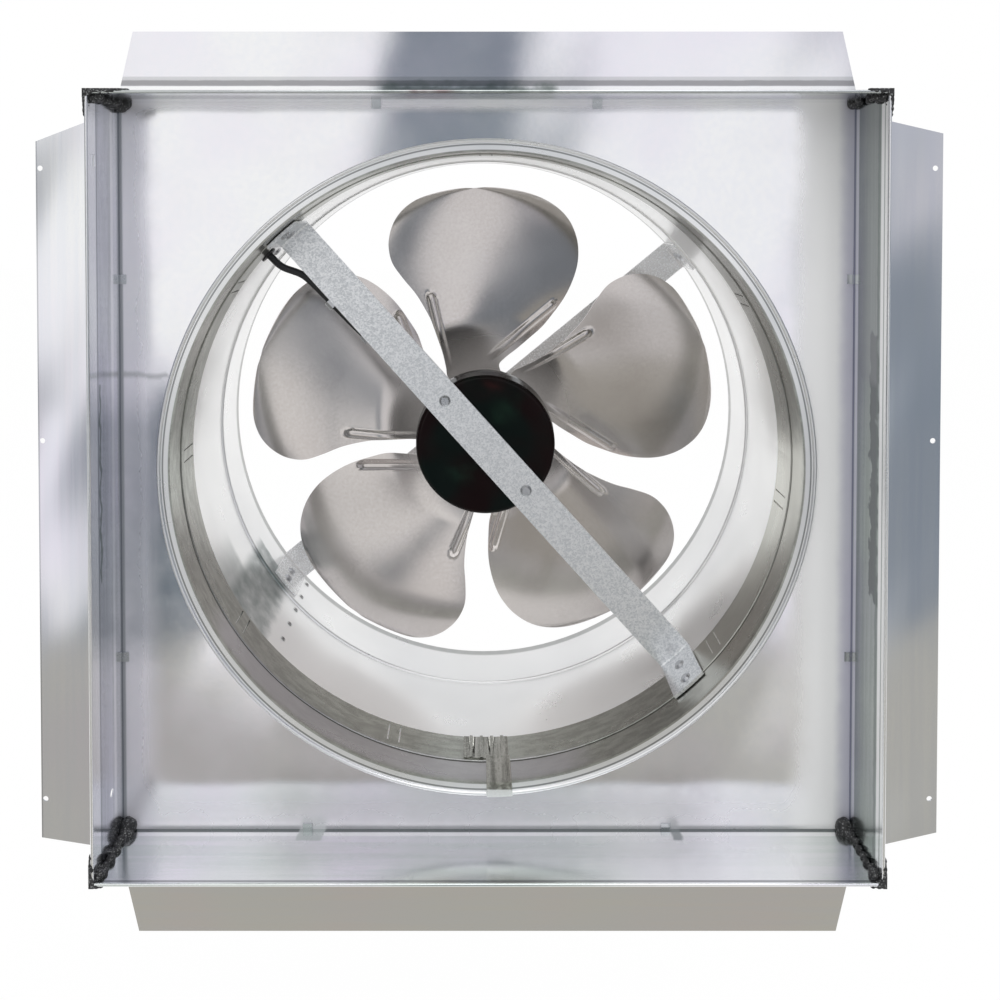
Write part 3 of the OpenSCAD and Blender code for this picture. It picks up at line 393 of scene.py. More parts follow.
# On the barrel's inside: painted light that makes it near-white, a painted shadow at its far end and
# a painted teal reflection; then the spot welds, which are really burnt dark.
BARREL_PAINTED_LIGHT_AND_WELDS = [
    ({"r": INSIDE}, 0.3, 0, 0.9, (0.99, 0.99, 0.985)),
    ({"r": INSIDE, "y": (215, 226)}, 3, 0, 0.85, (0.22, 0.23, 0.22)),
    ({"r": INSIDE, "turn": (-151, -139.5), "y": (80, 190)}, 3, 1, 0.9, REFLECTION_TEAL),
    ({"r": INSIDE, "turn": (-157, -149), "y": (80, 130)}, 8, 1, 0.85, REFLECTION_TEAL),
] + [
    ({"turn": WELD_TURN, "y": (y - WELD_HALF, y + WELD_HALF), "r": INSIDE}, 0.7, 0, 0.9,
     (0.06, 0.06, 0.06))
    for y in WELD_DEPTHS
]
HUB_HAZE = [({"r": (0, 62)}, 50, 0, 0.9, (1, 1, 1))]
# A painted highlight: the splice's strip across the ring is made near-white, as on the collar's
# ring.
SPLICE_PAINTED_HIGHLIGHT = [({"z": (-216, -205.5)}, 1, 0, 0.95, BRIGHT)]
# Painted light on the left wall: a bluish-grey band behind the rim, a painted shadow behind the hem,
# a bright band, a painted shadow at the seam with the panel, a painted highlight on the rim and a
# dark line behind it.
LEFT_WALL_PAINTED_LIGHT = [
    ({"y": (0, 17)}, 6, 3, 0.3, (0.46, 0.48, 0.52)),
    ({"y": (1, 3.5), "z": (-60, 60)}, 1.5, 4, 0.9, (0.20, 0.24, 0.22)),
    ({"y": (21, 25)}, 2, 1, 0.7, BRIGHT),
    ({"y": (34, 38)}, 2, 0, 0.85, (0.28, 0.30, 0.33)),
    ({"y": (-15, -2)}, 1.2, 0, 0.9, BRIGHT),
    ({"y": (-1.5, 0)}, 0.8, 0, 0.8, (0.30, 0.32, 0.34)),
]
# Painted light on the right wall: a painted shadow behind the hem, a darker upper part, a dark line
# behind the rim, a bright band, a painted shadow at the seam with the panel, a painted highlight on
# the rim and a dark line across it.
RIGHT_WALL_PAINTED_LIGHT = [
    ({"y": (-2, 9), "z": (-70, 90)}, 2, 9, 0.85, SHADOW),
    ({"y": (-2, 26), "z": (60, 240)}, 6, 3, 0.5, (0.30, 0.31, 0.33)),
    ({"y": (-3, 0.5)}, 1.5, 2, 0.6, (0.16, 0.19, 0.18)),
    ({"y": (29, 33.5)}, 1.5, 0, 0.9, BRIGHT),
    ({"y": (34, 38)}, 1, 0, 0.8, (0.30, 0.31, 0.40)),
    ({"y": (-15, -4)}, 1.2, 0, 0.95, BRIGHT),
    ({"y": (-9.6, -8.2)}, 0.8, 0, 0.8, (0.30, 0.32, 0.32)),
]
# Painted light on the top wall: painted shade behind the rim, a dark painted reflection in the
# middle, and a painted highlight as a bright band towards the panel.
TOP_WALL_PAINTED_LIGHT = [
    ({"y": (-4, 15), "x": (-240, -60)}, 5, 1, 0.75, (0.24, 0.25, 0.26)),
    ({"y": (-4, 15), "x": (40, 240)}, 5, 1, 0.5, (0.40, 0.38, 0.50)),
    ({"x": (-64, 40), "y": (-15, 16)}, 10, 7, 0.85, (0.13, 0.16, 0.14)),
    ({"x": (-50, -20), "y": (-15, 16)}, 10, 6, 0.5, (0.30, 0.17, 0.19)),
    ({"y": (19, 40)}, 3, 0, 0.8, BRIGHT),
]
# Painted light on the bottom wall: a bright zone and a greenish zone of painted reflection, a
# painted highlight and a painted shadow along the seam with the panel, two small spots at the seam,
# and a dark line on the rim.
BOTTOM_WALL_PAINTED_LIGHT_AND_SPOTS = [
    ({"x": (70, 200)}, 60, 8, 0.6, BRIGHT),
    ({"x": (-60, 60)}, 50, 8, 0.4, GREENISH),
    ({"y": (30, 33.3)}, 1, 0, 0.95, BRIGHT),
    ({"y": (33.8, 40)}, 1, 0, 0.9, (0.12, 0.14, 0.14)),
    ({"x": (-120, -104), "y": (26, 38)}, 2, 3, 0.8, (0.55, 0.60, 0.58)),
    ({"x": (118, 124), "y": (26, 38)}, 2, 2, 0.8, (0.30, 0.33, 0.33)),
    ({"y": (-12.2, -10.6)}, 0.8, 0, 0.8, (0.28, 0.29, 0.30)),
]
# Painted light on the top flange: grey and dark painted shade along its fold above the rim, a
# painted highlight below it, and a dark painted reflection in the middle.
TOP_FLANGE_PAINTED_LIGHT = [
    ({"z": (242, 244.3)}, 1, 0, 0.6, (0.50, 0.51, 0.52)),
    ({"z": (238.8, 242.2)}, 1, 0.3, 0.8, (0.24, 0.24, 0.25)),
    ({"z": (230, 238.6)}, 0.6, 0, 0.8, BRIGHT),
    ({"x": (-64, 40), "z": (230, 239.6)}, 6, 6, 0.8, (0.14, 0.18, 0.16)),
]
LEFT_FLANGE_MARKS = [({"x": (-271, -268.2)}, 0.5, 0, 0.7, (0.45, 0.46, 0.48))]
# Painted light on the collar: lighter and darker zones of painted reflection round it, a dark
# painted shadow line at its bead, and the ring painted near-white as a highlight, with a dark line
# across it.
COLLAR_PAINTED_LIGHT = [
    ({"y": (38, 60), "turn": (-150, -72)}, 8, 3, 0.7, (0.56, 0.55, 0.58)),
    ({"y": (38, 90), "turn": (-48, 4)}, 8, 3, 0.85, (0.66, 0.66, 0.61)),
    ({"y": (38, 90), "turn": (8, 62)}, 10, 4, 0.6, (0.30, 0.30, 0.29)),
    ({"y": (58, 59.2), "r": (200, 203)}, 0.8, 0, 0.9, (0.06, 0.06, 0.05)),
    ({"r": (203.3, 214)}, 0.6, 0, 0.95, (0.93, 0.935, 0.94)),
    ({"r": (206.2, 207.2)}, 0.5, 0, 0.85, (0.22, 0.23, 0.23)),
]

MATERIALS = {
    "galvanised": sheet_zinc("galvanised", PALE, COOL, LAVENDER),
    "galvanised_round": sheet_zinc("galvanised_round", (0.93, 0.93, 0.93), (0.86, 0.87, 0.88),
                                   BRIGHT, (0.15, 0.21), 0.03 * MM, metallic=0.98,
                                   marks=BARREL_PAINTED_LIGHT_AND_WELDS, haze=BARREL_HAZE, grain_h=0.002 * MM),
    "strap_zinc": strap_zinc("strap_zinc", (0.94, 0.95, 0.96), (0.68, 0.70, 0.72)),
    "sealant": speckled_caulk(),
    "motor_black": black_enamel(),
    "blade_aluminium": blade_metal(),
    "hub_metal": plain_metal("hub_metal", (0.5, 0.5, 0.5), (0.62, 0.61, 0.6)),
    "fastener": plain_metal("fastener", (0.45, 0.46, 0.48), (0.65, 0.66, 0.68)),
    "black_fastener": plain_metal("black_fastener", (0.03, 0.03, 0.03), (0.06, 0.06, 0.065)),
    "shaft_steel": plain_metal("shaft_steel", (0.6, 0.6, 0.61), (0.7, 0.7, 0.71)),
    "lamination": plain_metal("lamination", (0.15, 0.15, 0.17), (0.26, 0.26, 0.28)),
    "winding": plain_metal("winding", (0.35, 0.14, 0.05), (0.6, 0.28, 0.12)),
    "bronze": plain_metal("bronze", (0.4, 0.28, 0.12), (0.6, 0.44, 0.22)),
    "fibre": plain_matt("fibre", (0.2, 0.11, 0.06), (0.35, 0.22, 0.14)),
    "lead_black": plain_matt("lead_black", (0.008, 0.008, 0.009), (0.018, 0.018, 0.02)),
    "rubber": plain_matt("rubber", (0.01, 0.01, 0.01), (0.025, 0.025, 0.025)),
    "terminal_plastic": plain_matt("terminal_plastic", (0.7, 0.66, 0.55), (0.8, 0.77, 0.68)),
}

# Finishes of single nodes that differ from the rest of their slot
WALL_DARK = (0.48, 0.50, 0.51)
NODE_FINISH = {
    "back_panel": sheet_zinc("panel_zinc", PALE, COOL, LAVENDER, metallic=0.98,
                             marks=PANEL_PAINTED_LIGHT, haze=PANEL_HAZE),
    "seam_tabs": plain_metal("tab_zinc", (0.5, 0.52, 0.54), (0.66, 0.68, 0.7), (0.2, 0.3)),
    "collar_splice": sheet_zinc("splice_zinc", (0.46, 0.46, 0.43), (0.16, 0.16, 0.14),
                                (0.54, 0.54, 0.50), (0.2, 0.3), streaks=ALONG_STREAKS, worn=0.9,
                                marks=SPLICE_PAINTED_HIGHLIGHT),
    # The walls are one zinc, given a different tone for each wall as painted light and shade: the
    # right wall is darkest, then the top wall, and the left and bottom walls are pale.
    "wall_left": sheet_zinc("wall_left_zinc", (0.80, 0.81, 0.84), WALL_DARK, (0.76, 0.76, 0.83),
                            (0.12, 0.2), streaks=UP_STREAKS, worn=0.7, marks=LEFT_WALL_PAINTED_LIGHT),
    "wall_right": sheet_zinc("wall_right_zinc", (0.42, 0.46, 0.44), (0.27, 0.31, 0.29),
                             (0.38, 0.40, 0.42), (0.12, 0.2), streaks=UP_STREAKS, worn=0.7,
                             marks=RIGHT_WALL_PAINTED_LIGHT),
    "wall_top": sheet_zinc("wall_top_zinc", (0.62, 0.64, 0.65), WALL_DARK, (0.58, 0.62, 0.60),
                           (0.12, 0.2), streaks=ACROSS_STREAKS, worn=0.7, marks=TOP_WALL_PAINTED_LIGHT),
    "wall_bottom": sheet_zinc("wall_bottom_zinc", (0.80, 0.83, 0.81), GREENISH, LAVENDER,
                              (0.12, 0.2), streaks=ACROSS_STREAKS, worn=0.6,
                              marks=BOTTOM_WALL_PAINTED_LIGHT_AND_SPOTS),
    "flange_top": sheet_zinc("flange_top_zinc", PALE, COOL, LAVENDER, marks=TOP_FLANGE_PAINTED_LIGHT),
    "flange_left": sheet_zinc("flange_left_zinc", PALE, COOL, LAVENDER, streaks=UP_STREAKS,
                              worn=0.5, marks=LEFT_FLANGE_MARKS),
    "flange_right": sheet_zinc("flange_right_zinc", PALE, COOL, (0.80, 0.83, 0.86),
                               streaks=UP_STREAKS, worn=0.5),
    "flange_bottom": sheet_zinc("flange_bottom_zinc", WARM, COOL, (0.87, 0.82, 0.81),
                                streaks=ACROSS_STREAKS),
    # The collar is given a much darker zinc than the barrel, as painted shade.
    "inlet_collar": sheet_zinc("collar_zinc", (0.42, 0.42, 0.39), (0.22, 0.22, 0.20),
                               (0.46, 0.48, 0.44), (0.24, 0.34), streaks=AROUND_STREAKS, worn=0.5,
                               marks=COLLAR_PAINTED_LIGHT),
    # The rear strap is given a paler zinc than the front strap, as painted light.
    "rear_strap": strap_zinc("rear_strap_zinc", (0.97, 0.97, 0.97), (0.88, 0.89, 0.9), (0.2, 0.3),
                             metallic=0.3),
}


def dress_nodes():
    slot_of = {part["node"]: part["material_slot"] for part in frame["record"]["subparts"]}
    for name, node in NODES.items():
        node.data.materials.clear()
        node.data.materials.append(NODE_FINISH.get(name) or MATERIALS[slot_of[name]])


# Mesh helpers


def make_object(name, points, faces, crease=35):
    """A mesh object whose edges are smooth up to an angle in degrees."""
    mesh = bpy.data.meshes.new(name)
    mesh.from_pydata(points, [], faces)
    mesh.validate()
    mesh.shade_smooth()
    mesh.set_sharp_from_angle(angle=math.radians(crease))
    made = bpy.data.objects.new(name, mesh)
    bpy.context.scene.collection.objects.link(made)
    return made


def stand_for(piece, node, body, slot):
    """Gives a piece its body and its finish, and lets it stand for a construction node."""
    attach(piece, body)
    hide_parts(node)
    piece.data.materials.append(MATERIALS[slot])


def grid_faces(rows, columns, start=0, closed=False, flip=False):
    """Quads over rows of points. A closed grid joins its last column to its first."""
    faces = []
    for i in range(rows - 1):
        for j in range(columns if closed else columns - 1):
            k = (j + 1) % columns
            quad = (i * columns + j, i * columns + k, (i + 1) * columns + k, (i + 1) * columns + j)
            quad = tuple(start + index for index in quad)
            faces.append(quad[::-1] if flip else quad)
    return faces


def spline(points, steps):
    """A smooth curve through points of any dimension."""
    curve = []
    last = len(points) - 1
    for i in range(last):
        corners = [points[max(0, i - 1)], points[i], points[i + 1], points[min(last, i + 2)]]
        for k in range(steps):
            t = k / steps
            shares = (
                0.5 * (-t + 2 * t * t - t ** 3),
                0.5 * (2 - 5 * t * t + 3 * t ** 3),
                0.5 * (t + 4 * t * t - 3 * t ** 3),
                0.5 * (-t * t + t ** 3),
            )
            size = range(len(points[0]))
            curve.append(tuple(sum(s * p[a] for s, p in zip(shares, corners)) for a in size))
    curve.append(tuple(points[last]))
    return curve


def smooth_step(x):
    t = min(1.0, max(0.0, x))
    return t * t * (3 - 2 * t)


# Fan blades

FAN_R = 182 * MM
BLADE_T = 1.2 * MM
BLADE_COUNT = 5
DISC_R = 40 * MM
DISC_T = 1.8 * MM
DISC_Y = 184 * MM
DISC_EDGE = 0.4 * MM
DISC_STEPS = 128
HUB_HOLE_R = 12.3 * MM
# How far forwards a blade leans with each degree round the axis, and how far it bulges
LEAD_PER_DEGREE = 0.36 * MM
CAMBER = 4 * MM
# Where along the radius a blade leaves the disc's plane, and over how much of it, as shares
BLADE_RISE_FROM = 0.235
BLADE_RISE_OVER = 0.23
RIB_H = 2 * MM
RIB_HALF = 3.8 * MM
# Share of a rib's length over which it rises, and share of its half width that its flank takes
RIB_RUN_IN = 0.25
RIB_FLANK = 0.7
BLADE_COLUMNS = 72
OUTLINE_STEPS = 6
# Share of the tip radius, then the angles of the blade's two edges in degrees
BLADE_OUTLINE = [
    (0.19, -27, 40), (0.215, -20, 41), (0.245, -15.5, 40.5), (0.28, -19, 36), (0.33, -24.8, 32),
    (0.39, -29.3, 29.4), (0.46, -32.7, 27.8), (0.54, -33.8, 27.6), (0.62, -34.1, 28.1),
    (0.70, -33.3, 29.4), (0.78, -31.6, 30), (0.845, -29.2, 28.8), (0.895, -26.5, 26.8),
    (0.94, -23, 24), (0.972, -18.6, 20.7), (0.992, -12.5, 16.2), (1, -4, 8.5),
]
# The two ribs of the blade that points up: from and to, in millimetres right and up of the axis
BLADE_RIBS = [((-27, 37), (-41, 97)), ((2, 47), (55, 89))]


def rib_height(x, z):
    """Height of a blade's pressed ribs at a place in the blade that points up."""
    height = 0.0
    for start, end in BLADE_RIBS:
        a, b = Vector(start) * MM, Vector(end) * MM
        along = b - a
        share = min(1.0, max(0.0, (Vector((x, z)) - a).dot(along) / along.length_squared))
        away = (Vector((x, z)) - a - share * along).length
        rise = smooth_step(share / RIB_RUN_IN)
        height = max(height, rise * RIB_H * smooth_step((RIB_HALF - away) / (RIB_FLANK * RIB_HALF)))
    return height


def blade_point(share, u, w):
    """A point in the middle of the sheet of the blade that points up."""
    grown = smooth_step((share - BLADE_RISE_FROM) / BLADE_RISE_OVER)
    around = math.radians(90 + u)
    x, z = share * FAN_R * math.cos(around), share * FAN_R * math.sin(around)
    rise = grown * (LEAD_PER_DEGREE * u + CAMBER * (1 - (2 * w - 1) ** 2))
    return Vector((x, DISC_Y - rise - rib_height(x, z), z))


def blade_sheet():
    """Rows of middle points, and the normals that face the front."""
    rows = []
    last = BLADE_COLUMNS - 1
    # Half of the columns' spacing is even, and half gathers them at the edges, where the ribs are
    shares = []
    for j in range(BLADE_COLUMNS):
        shares.append((0.5 - 0.5 * math.cos(math.pi * j / last) + j / last) / 2)
    for share, low, high in spline(BLADE_OUTLINE, OUTLINE_STEPS):
        rows.append([blade_point(share, low + w * (high - low), w) for w in shares])
    normals = []
    for i, row in enumerate(rows):
        for j in range(BLADE_COLUMNS):
            out = rows[min(len(rows) - 1, i + 1)][j] - rows[max(0, i - 1)][j]
            side = row[min(last, j + 1)] - row[max(0, j - 1)]
            normals.append(side.cross(out).normalized())
    return rows, normals


def blade_solid():
    """Points and faces of the blade that points up, closed round its edge."""
    rows, normals = blade_sheet()
    middle = [point for row in rows for point in row]
    front = [p + n * BLADE_T / 2 for p, n in zip(middle, normals)]
    back = [p - n * BLADE_T / 2 for p, n in zip(middle, normals)]
    count, columns, size = len(rows), BLADE_COLUMNS, len(middle)
    edge = list(range(columns)) + [i * columns + columns - 1 for i in range(1, count)]
    edge += [(count - 1) * columns + j for j in range(columns - 2, -1, -1)]
    edge += [i * columns for i in range(count - 2, 0, -1)]
    faces = grid_faces(count, columns) + grid_faces(count, columns, size, flip=True)
    for k, index in enumerate(edge):
        following = edge[(k + 1) % len(edge)]
        faces.append((following, index, size + index, size + following))
    return front + back, faces


def disc_solid():
    """Points and faces of the fan's disc, turned from its section."""
    half = DISC_T / 2
    section = [
        (HUB_HOLE_R, -half), (DISC_R - DISC_EDGE, -half), (DISC_R, -half + DISC_EDGE),
        (DISC_R, half - DISC_EDGE), (DISC_R - DISC_EDGE, half), (HUB_HOLE_R, half),
    ]
    points = []
    for radius, depth in section:
        for k in range(DISC_STEPS):
            around = 2 * math.pi * k / DISC_STEPS
            x, z = radius * math.cos(around), radius * math.sin(around)
            points.append(Vector((x, DISC_Y + depth, z)))
    faces = grid_faces(len(section), DISC_STEPS, closed=True, flip=True)
    last = (len(section) - 1) * DISC_STEPS
    for k in range(DISC_STEPS):
        following = (k + 1) % DISC_STEPS
        faces.append((k, last + k, last + following, following))
    return points, faces


def make_fan():
    """Five stamped blades on their disc, as one piece."""
    points, faces = disc_solid()
    blade, blade_faces = blade_solid()
    for i in range(BLADE_COUNT):
        turn = Matrix.Rotation(math.radians(i * 360 / BLADE_COUNT), 3, "Y")
        start = len(points)
        points += [turn @ p for p in blade]
        faces += [tuple(start + index for index in face) for face in blade_faces]
    fan = make_object("fan_blades_stamped", points, faces)
    stand_for(fan, "fan_blades", "fan", "blade_aluminium")


# Motor lead

LEAD_R = 2.5 * MM
# The turn of the lead's hole in the barrel and of the strap, then the depth of the hole and of the
# lead along the strap
LEAD_ANGLE = math.radians(138.5)
STRAP_ANGLE = math.radians(132)
LEAD_EXIT_Y = 97 * MM
LEAD_STRAP_Y = 101.9 * MM
BARREL_IN = 203 * MM
LEAD_SIDES = 20
LEAD_STEPS = 8
# From the terminal block inwards: distance outside the barrel's inner face and depth, in millimetres
LEAD_EXIT_ROUTE = [
    (13, 19.8), (13, 15), (13, 10), (11.7, 5), (8, 1.3), (5.5, 0.15), (3, 0), (0, 0), (-3, 0),
    (-14, 0),
]
# Distance along the strap, distance beside its middle line and depth, in millimetres
LEAD_STRAP_ROUTE = [
    (174, 15.2, 1.6), (158, 13.8, 0.4), (140, 13.2, 0), (120, 12.2, 0), (102, 10, 0), (86, 6.6, 0.2),
    (69.6, 4, -1.6), (58.6, 4, -6.5), (52.6, 4, -7.1), (43.6, 4, -7.1),
]


def lead_points():
    """The lead's middle line, from the terminal block to the motor."""
    points = []
    for out, depth in LEAD_EXIT_ROUTE:
        r = BARREL_IN + out * MM
        x, z = r * math.cos(LEAD_ANGLE), r * math.sin(LEAD_ANGLE)
        points.append((x, LEAD_EXIT_Y + depth * MM, z))
    along = Vector((math.cos(STRAP_ANGLE), 0, math.sin(STRAP_ANGLE)))
    beside = Vector((-math.sin(STRAP_ANGLE), 0, math.cos(STRAP_ANGLE)))
    for a, b, depth in LEAD_STRAP_ROUTE:
        place = along * a * MM + beside * b * MM
        points.append((place.x, LEAD_STRAP_Y - depth * MM, place.z))
    return [Vector(p) for p in spline(points, LEAD_STEPS)]


def make_lead():
    """The lead as a round tube along its route."""
    path = lead_points()
    reference = Vector((-math.sin(LEAD_ANGLE), 0, math.cos(LEAD_ANGLE)))
    rings = []
    for i, point in enumerate(path):
        along = (path[min(len(path) - 1, i + 1)] - path[max(0, i - 1)]).normalized()
        up = along.cross(reference).normalized()
        side = up.cross(along)
        for k in range(LEAD_SIDES):
            around = 2 * math.pi * k / LEAD_SIDES
            rings.append(point + LEAD_R * (math.cos(around) * side + math.sin(around) * up))
    faces = grid_faces(len(path), LEAD_SIDES, closed=True)
    faces.append(tuple(range(LEAD_SIDES))[::-1])
    faces.append(tuple(range(len(rings) - LEAD_SIDES, len(rings))))
    stand_for(make_object("motor_lead_round", rings, faces), "motor_lead", "housing", "lead_black")


# Corner sealant

# Half the tray's width inside its walls and over its rim, and the depths of the rim and the panel
WALL_IN = 233 * MM
RIM_HALF = 235 * MM
RIM_Y = -14 * MM
PANEL_Y = 37 * MM
SEALANT_VOXEL = 0.7 * MM
# How far the lumps' own grain reaches, its scale in cells to a metre and the lumps' stretch
SEALANT_GRAIN = 1.0 * MM
SEALANT_CELLS = 220
BEAD_STRETCH = (1, 1.25, 1)
SMEAR_STRETCH = (1, 1.6, 1)
BEAD_BEHIND_RIM = 2 * MM
# For each corner, given by the signs of x and z, its lumps: how far each lies from the side wall,
# from the top or bottom wall and behind the rim, and its radius, in millimetres
SEALANT_LUMPS = {
    (-1, 1): [(2, 2, 49, 4.6), (5, 1, 49, 3.4), (1, 2, 42, 3.2), (2, 1, 35, 3), (4, 1, 37, 2.4),
              (0, 1, 28, 2.6), (2, 1, 22, 2.8), (1, 1, 16, 2.6), (3, 1, 12, 2.6), (1, 2, 7, 3),
              (5, 1, 6, 2.6)],
    (1, 1): [(2, 1, 49, 3.6), (1, 2, 44, 2.6), (2, 1, 38, 2.4), (4, 1, 33, 2.2), (0, 1, 28, 2.2),
             (2, 1, 21, 2.4), (1, 2, 13, 2.8), (4, 1, 9, 2.6), (1, 1, 6, 3)],
    (-1, -1): [(3, 3, 49, 5.6), (4, 1, 44, 4.2), (2, 1, 39, 3), (1, 1, 33, 2.8), (4, 1, 29, 2.4),
               (1, 1, 26, 2.8), (3, 1, 20, 2.8), (1, 1, 14, 2.8), (3, 1, 9, 2.6), (1, 2, 6, 3)],
    (1, -1): [(4, 3, 49, 5.4), (7, 1, 48, 3), (2, 1, 43, 3.4), (1, 1, 36, 2.4), (2, 1, 30, 2.2),
              (1, 1, 24, 2.2), (2, 1, 18, 2.4), (1, 1, 12, 2.8), (2, 1, 7, 3.2)],
}
# How far each corner's smears reach along the rim inwards and down, in millimetres
SEALANT_SMEARS = {(-1, 1): (24, 14), (1, 1): (12, 14), (-1, -1): (6, 17), (1, -1): (7, 15)}
# The smears' thickness outside the rim and their depth. The lumps that make them: how far behind the
# rim their middles lie, their radius at the corner, how much it shrinks to the smear's end, their
# spacing in millimetres and the least number of them in a stroke.
SMEAR_T = 1.0 * MM
SMEAR_DEPTH = 7 * MM
SMEAR_BEHIND_RIM = 2.5 * MM
SMEAR_R = 2.6 * MM
SMEAR_SHRINK = 1.0 * MM
SMEAR_SPACING = 2.2
SMEAR_LEAST = 3
# Seeds of the grain: the beads' step from corner to corner, then the smears' first seed and their
# steps from corner to corner and from stroke to stroke
BEAD_SEED_STEP = 10
SMEAR_SEED = 100
SMEAR_SEED_STEP = 50
STROKE_SEED_STEP = 20


def add_lump(mesh, at, radius, seed, stretch):
    """Adds an uneven, stretched ball to a bmesh."""
    before = len(mesh.verts)
    bmesh.ops.create_icosphere(mesh, subdivisions=3, radius=radius)
    mesh.verts.ensure_lookup_table()
    for vert in mesh.verts[before:]:
        grain = noise.noise(vert.co * SEALANT_CELLS + Vector((seed, 0, 0)))
        vert.co += vert.co.normalized() * grain * SEALANT_GRAIN
        vert.co = Vector(at) + Vector([c * s for c, s in zip(vert.co, stretch)])


def melt_together(mesh, name):
    """Joins a bmesh's overlapping lumps into one skin, and returns it as a new bmesh."""
    data = bpy.data.meshes.new(name)
    mesh.to_mesh(data)
    mesh.free()
    shape = bpy.data.objects.new(name, data)
    bpy.context.scene.collection.objects.link(shape)
    modifier = shape.modifiers.new("melt", "REMESH")
    modifier.mode = "VOXEL"
    modifier.voxel_size = SEALANT_VOXEL
    melted = bmesh.new()
    melted.from_object(shape, bpy.context.evaluated_depsgraph_get())
    bpy.data.objects.remove(shape)
    return melted


def cut_to_box(mesh, low, high):
    """Trims a closed bmesh to a box and closes the cuts."""
    for axis in range(3):
        for place, sign in ((low[axis], -1), (high[axis], 1)):
            normal = Vector([sign if a == axis else 0 for a in range(3)])
            at = Vector([place if a == axis else 0 for a in range(3)])
            parts = list(mesh.verts) + list(mesh.edges) + list(mesh.faces)
            cut = bmesh.ops.bisect_plane(
                mesh, geom=parts, plane_co=at, plane_no=normal, clear_outer=True
            )
            edges = [e for e in cut["geom_cut"] if isinstance(e, bmesh.types.BMEdge)]
            bmesh.ops.holes_fill(mesh, edges=edges)


def corner_bead(side, height, seed):
    """The sealant in one inner corner, from the rim to the panel."""
    mesh = bmesh.new()
    for k, (from_side, from_end, depth, radius) in enumerate(SEALANT_LUMPS[side, height]):
        at = (WALL_IN - from_side * MM, RIM_Y + depth * MM, WALL_IN - from_end * MM)
        add_lump(mesh, at, radius * MM, seed + k, BEAD_STRETCH)
    melted = melt_together(mesh, "bead")
    low = (WALL_IN / 2, RIM_Y + BEAD_BEHIND_RIM, WALL_IN / 2)
    cut_to_box(melted, low, (WALL_IN, PANEL_Y, WALL_IN))
    return melted


def corner_smear(side, height, seed):
    """The sealant pressed over the rim outside one corner, as two uneven strokes."""
    inwards, down = SEALANT_SMEARS[side, height]
    mesh = bmesh.new()
    for stroke, reach in enumerate((inwards, down)):
        count = max(SMEAR_LEAST, round(reach / SMEAR_SPACING))
        for k in range(count):
            share = k / (count - 1)
            x, z = RIM_HALF - share * reach * MM, RIM_HALF
            if stroke == 1:
                x, z = z, x
            at = (x, RIM_Y + SMEAR_BEHIND_RIM, z)
            grain_seed = seed + STROKE_SEED_STEP * stroke + k
            add_lump(mesh, at, SMEAR_R - share * SMEAR_SHRINK, grain_seed, SMEAR_STRETCH)
    melted = melt_together(mesh, "smear")
    outer = RIM_HALF + SMEAR_T
    cut_to_box(melted, (WALL_IN / 2, RIM_Y, WALL_IN / 2), (outer, RIM_Y + SMEAR_DEPTH, outer))
    return melted


def make_sealant():
    """The four corners' beads and smears as one piece, made at the upper right and mirrored."""
    points, faces = [], []
    for number, (side, height) in enumerate(SEALANT_LUMPS):
        bead = corner_bead(side, height, BEAD_SEED_STEP * number)
        smear = corner_smear(side, height, SMEAR_SEED + SMEAR_SEED_STEP * number)
        for part in (bead, smear):
            start = len(points)
            points += [(v.co.x * side, v.co.y, v.co.z * height) for v in part.verts]
            part.verts.index_update()
            for face in part.faces:
                indices = tuple(start + v.index for v in face.verts)
                faces.append(indices if side * height > 0 else indices[::-1])
            part.free()
    sealant = make_object("corner_sealant_lumps", points, faces, crease=60)
    stand_for(sealant, "corner_sealant", "housing", "sealant")


# Studio

# How far the floor lies below the fan, where it begins in front, and how far it reaches
FLOOR_DROP = 0.35
FLOOR_FRONT = -0.35
FLOOR_REACH = 12.0
# How white the floor's paper is, and how much of its white is seen without its shadows
FLOOR_PAPER = (0.95, 0.95, 0.95)
FLOOR_SEEN = 0.95
WHITE = (1.0, 1.0, 1.0)


def add_floor():
    """A pale floor under the fan and behind it. It shows white, and keeps the fan's shadow."""
    level = CAD_BOX[0].z - FLOOR_DROP
    corners = [(x, y, level) for x, y in (
        (-FLOOR_REACH, FLOOR_FRONT), (FLOOR_REACH, FLOOR_FRONT),
        (FLOOR_REACH, FLOOR_REACH), (-FLOOR_REACH, FLOOR_REACH),
    )]
    mesh = bpy.data.meshes.new("floor")
    mesh.from_pydata(corners, [], [(0, 1, 2, 3)])
    floor = bpy.data.objects.new("floor", mesh)
    bpy.context.scene.collection.objects.link(floor)
    material, s = new_material("floor")
    path = s.node("ShaderNodeLightPath").outputs
    mirrored = s.math("ADD", path["Is Glossy Ray"], path["Is Transmission Ray"], clamp=True)
    seen = s.math("ADD", path["Is Camera Ray"], mirrored, clamp=True)
    paper = s.node("ShaderNodeBsdfDiffuse", {"Color": FLOOR_PAPER})
    white = s.node("ShaderNodeEmission", {"Color": WHITE, "Strength": 1.0})
    share = s.math("MULTIPLY", seen, FLOOR_SEEN)
    both = s.node("ShaderNodeMixShader", {0: share, 1: paper.outputs[0], 2: white.outputs[0]})
    s.node("ShaderNodeOutputMaterial", {"Surface": both.outputs[0]})
    mesh.materials.append(material)


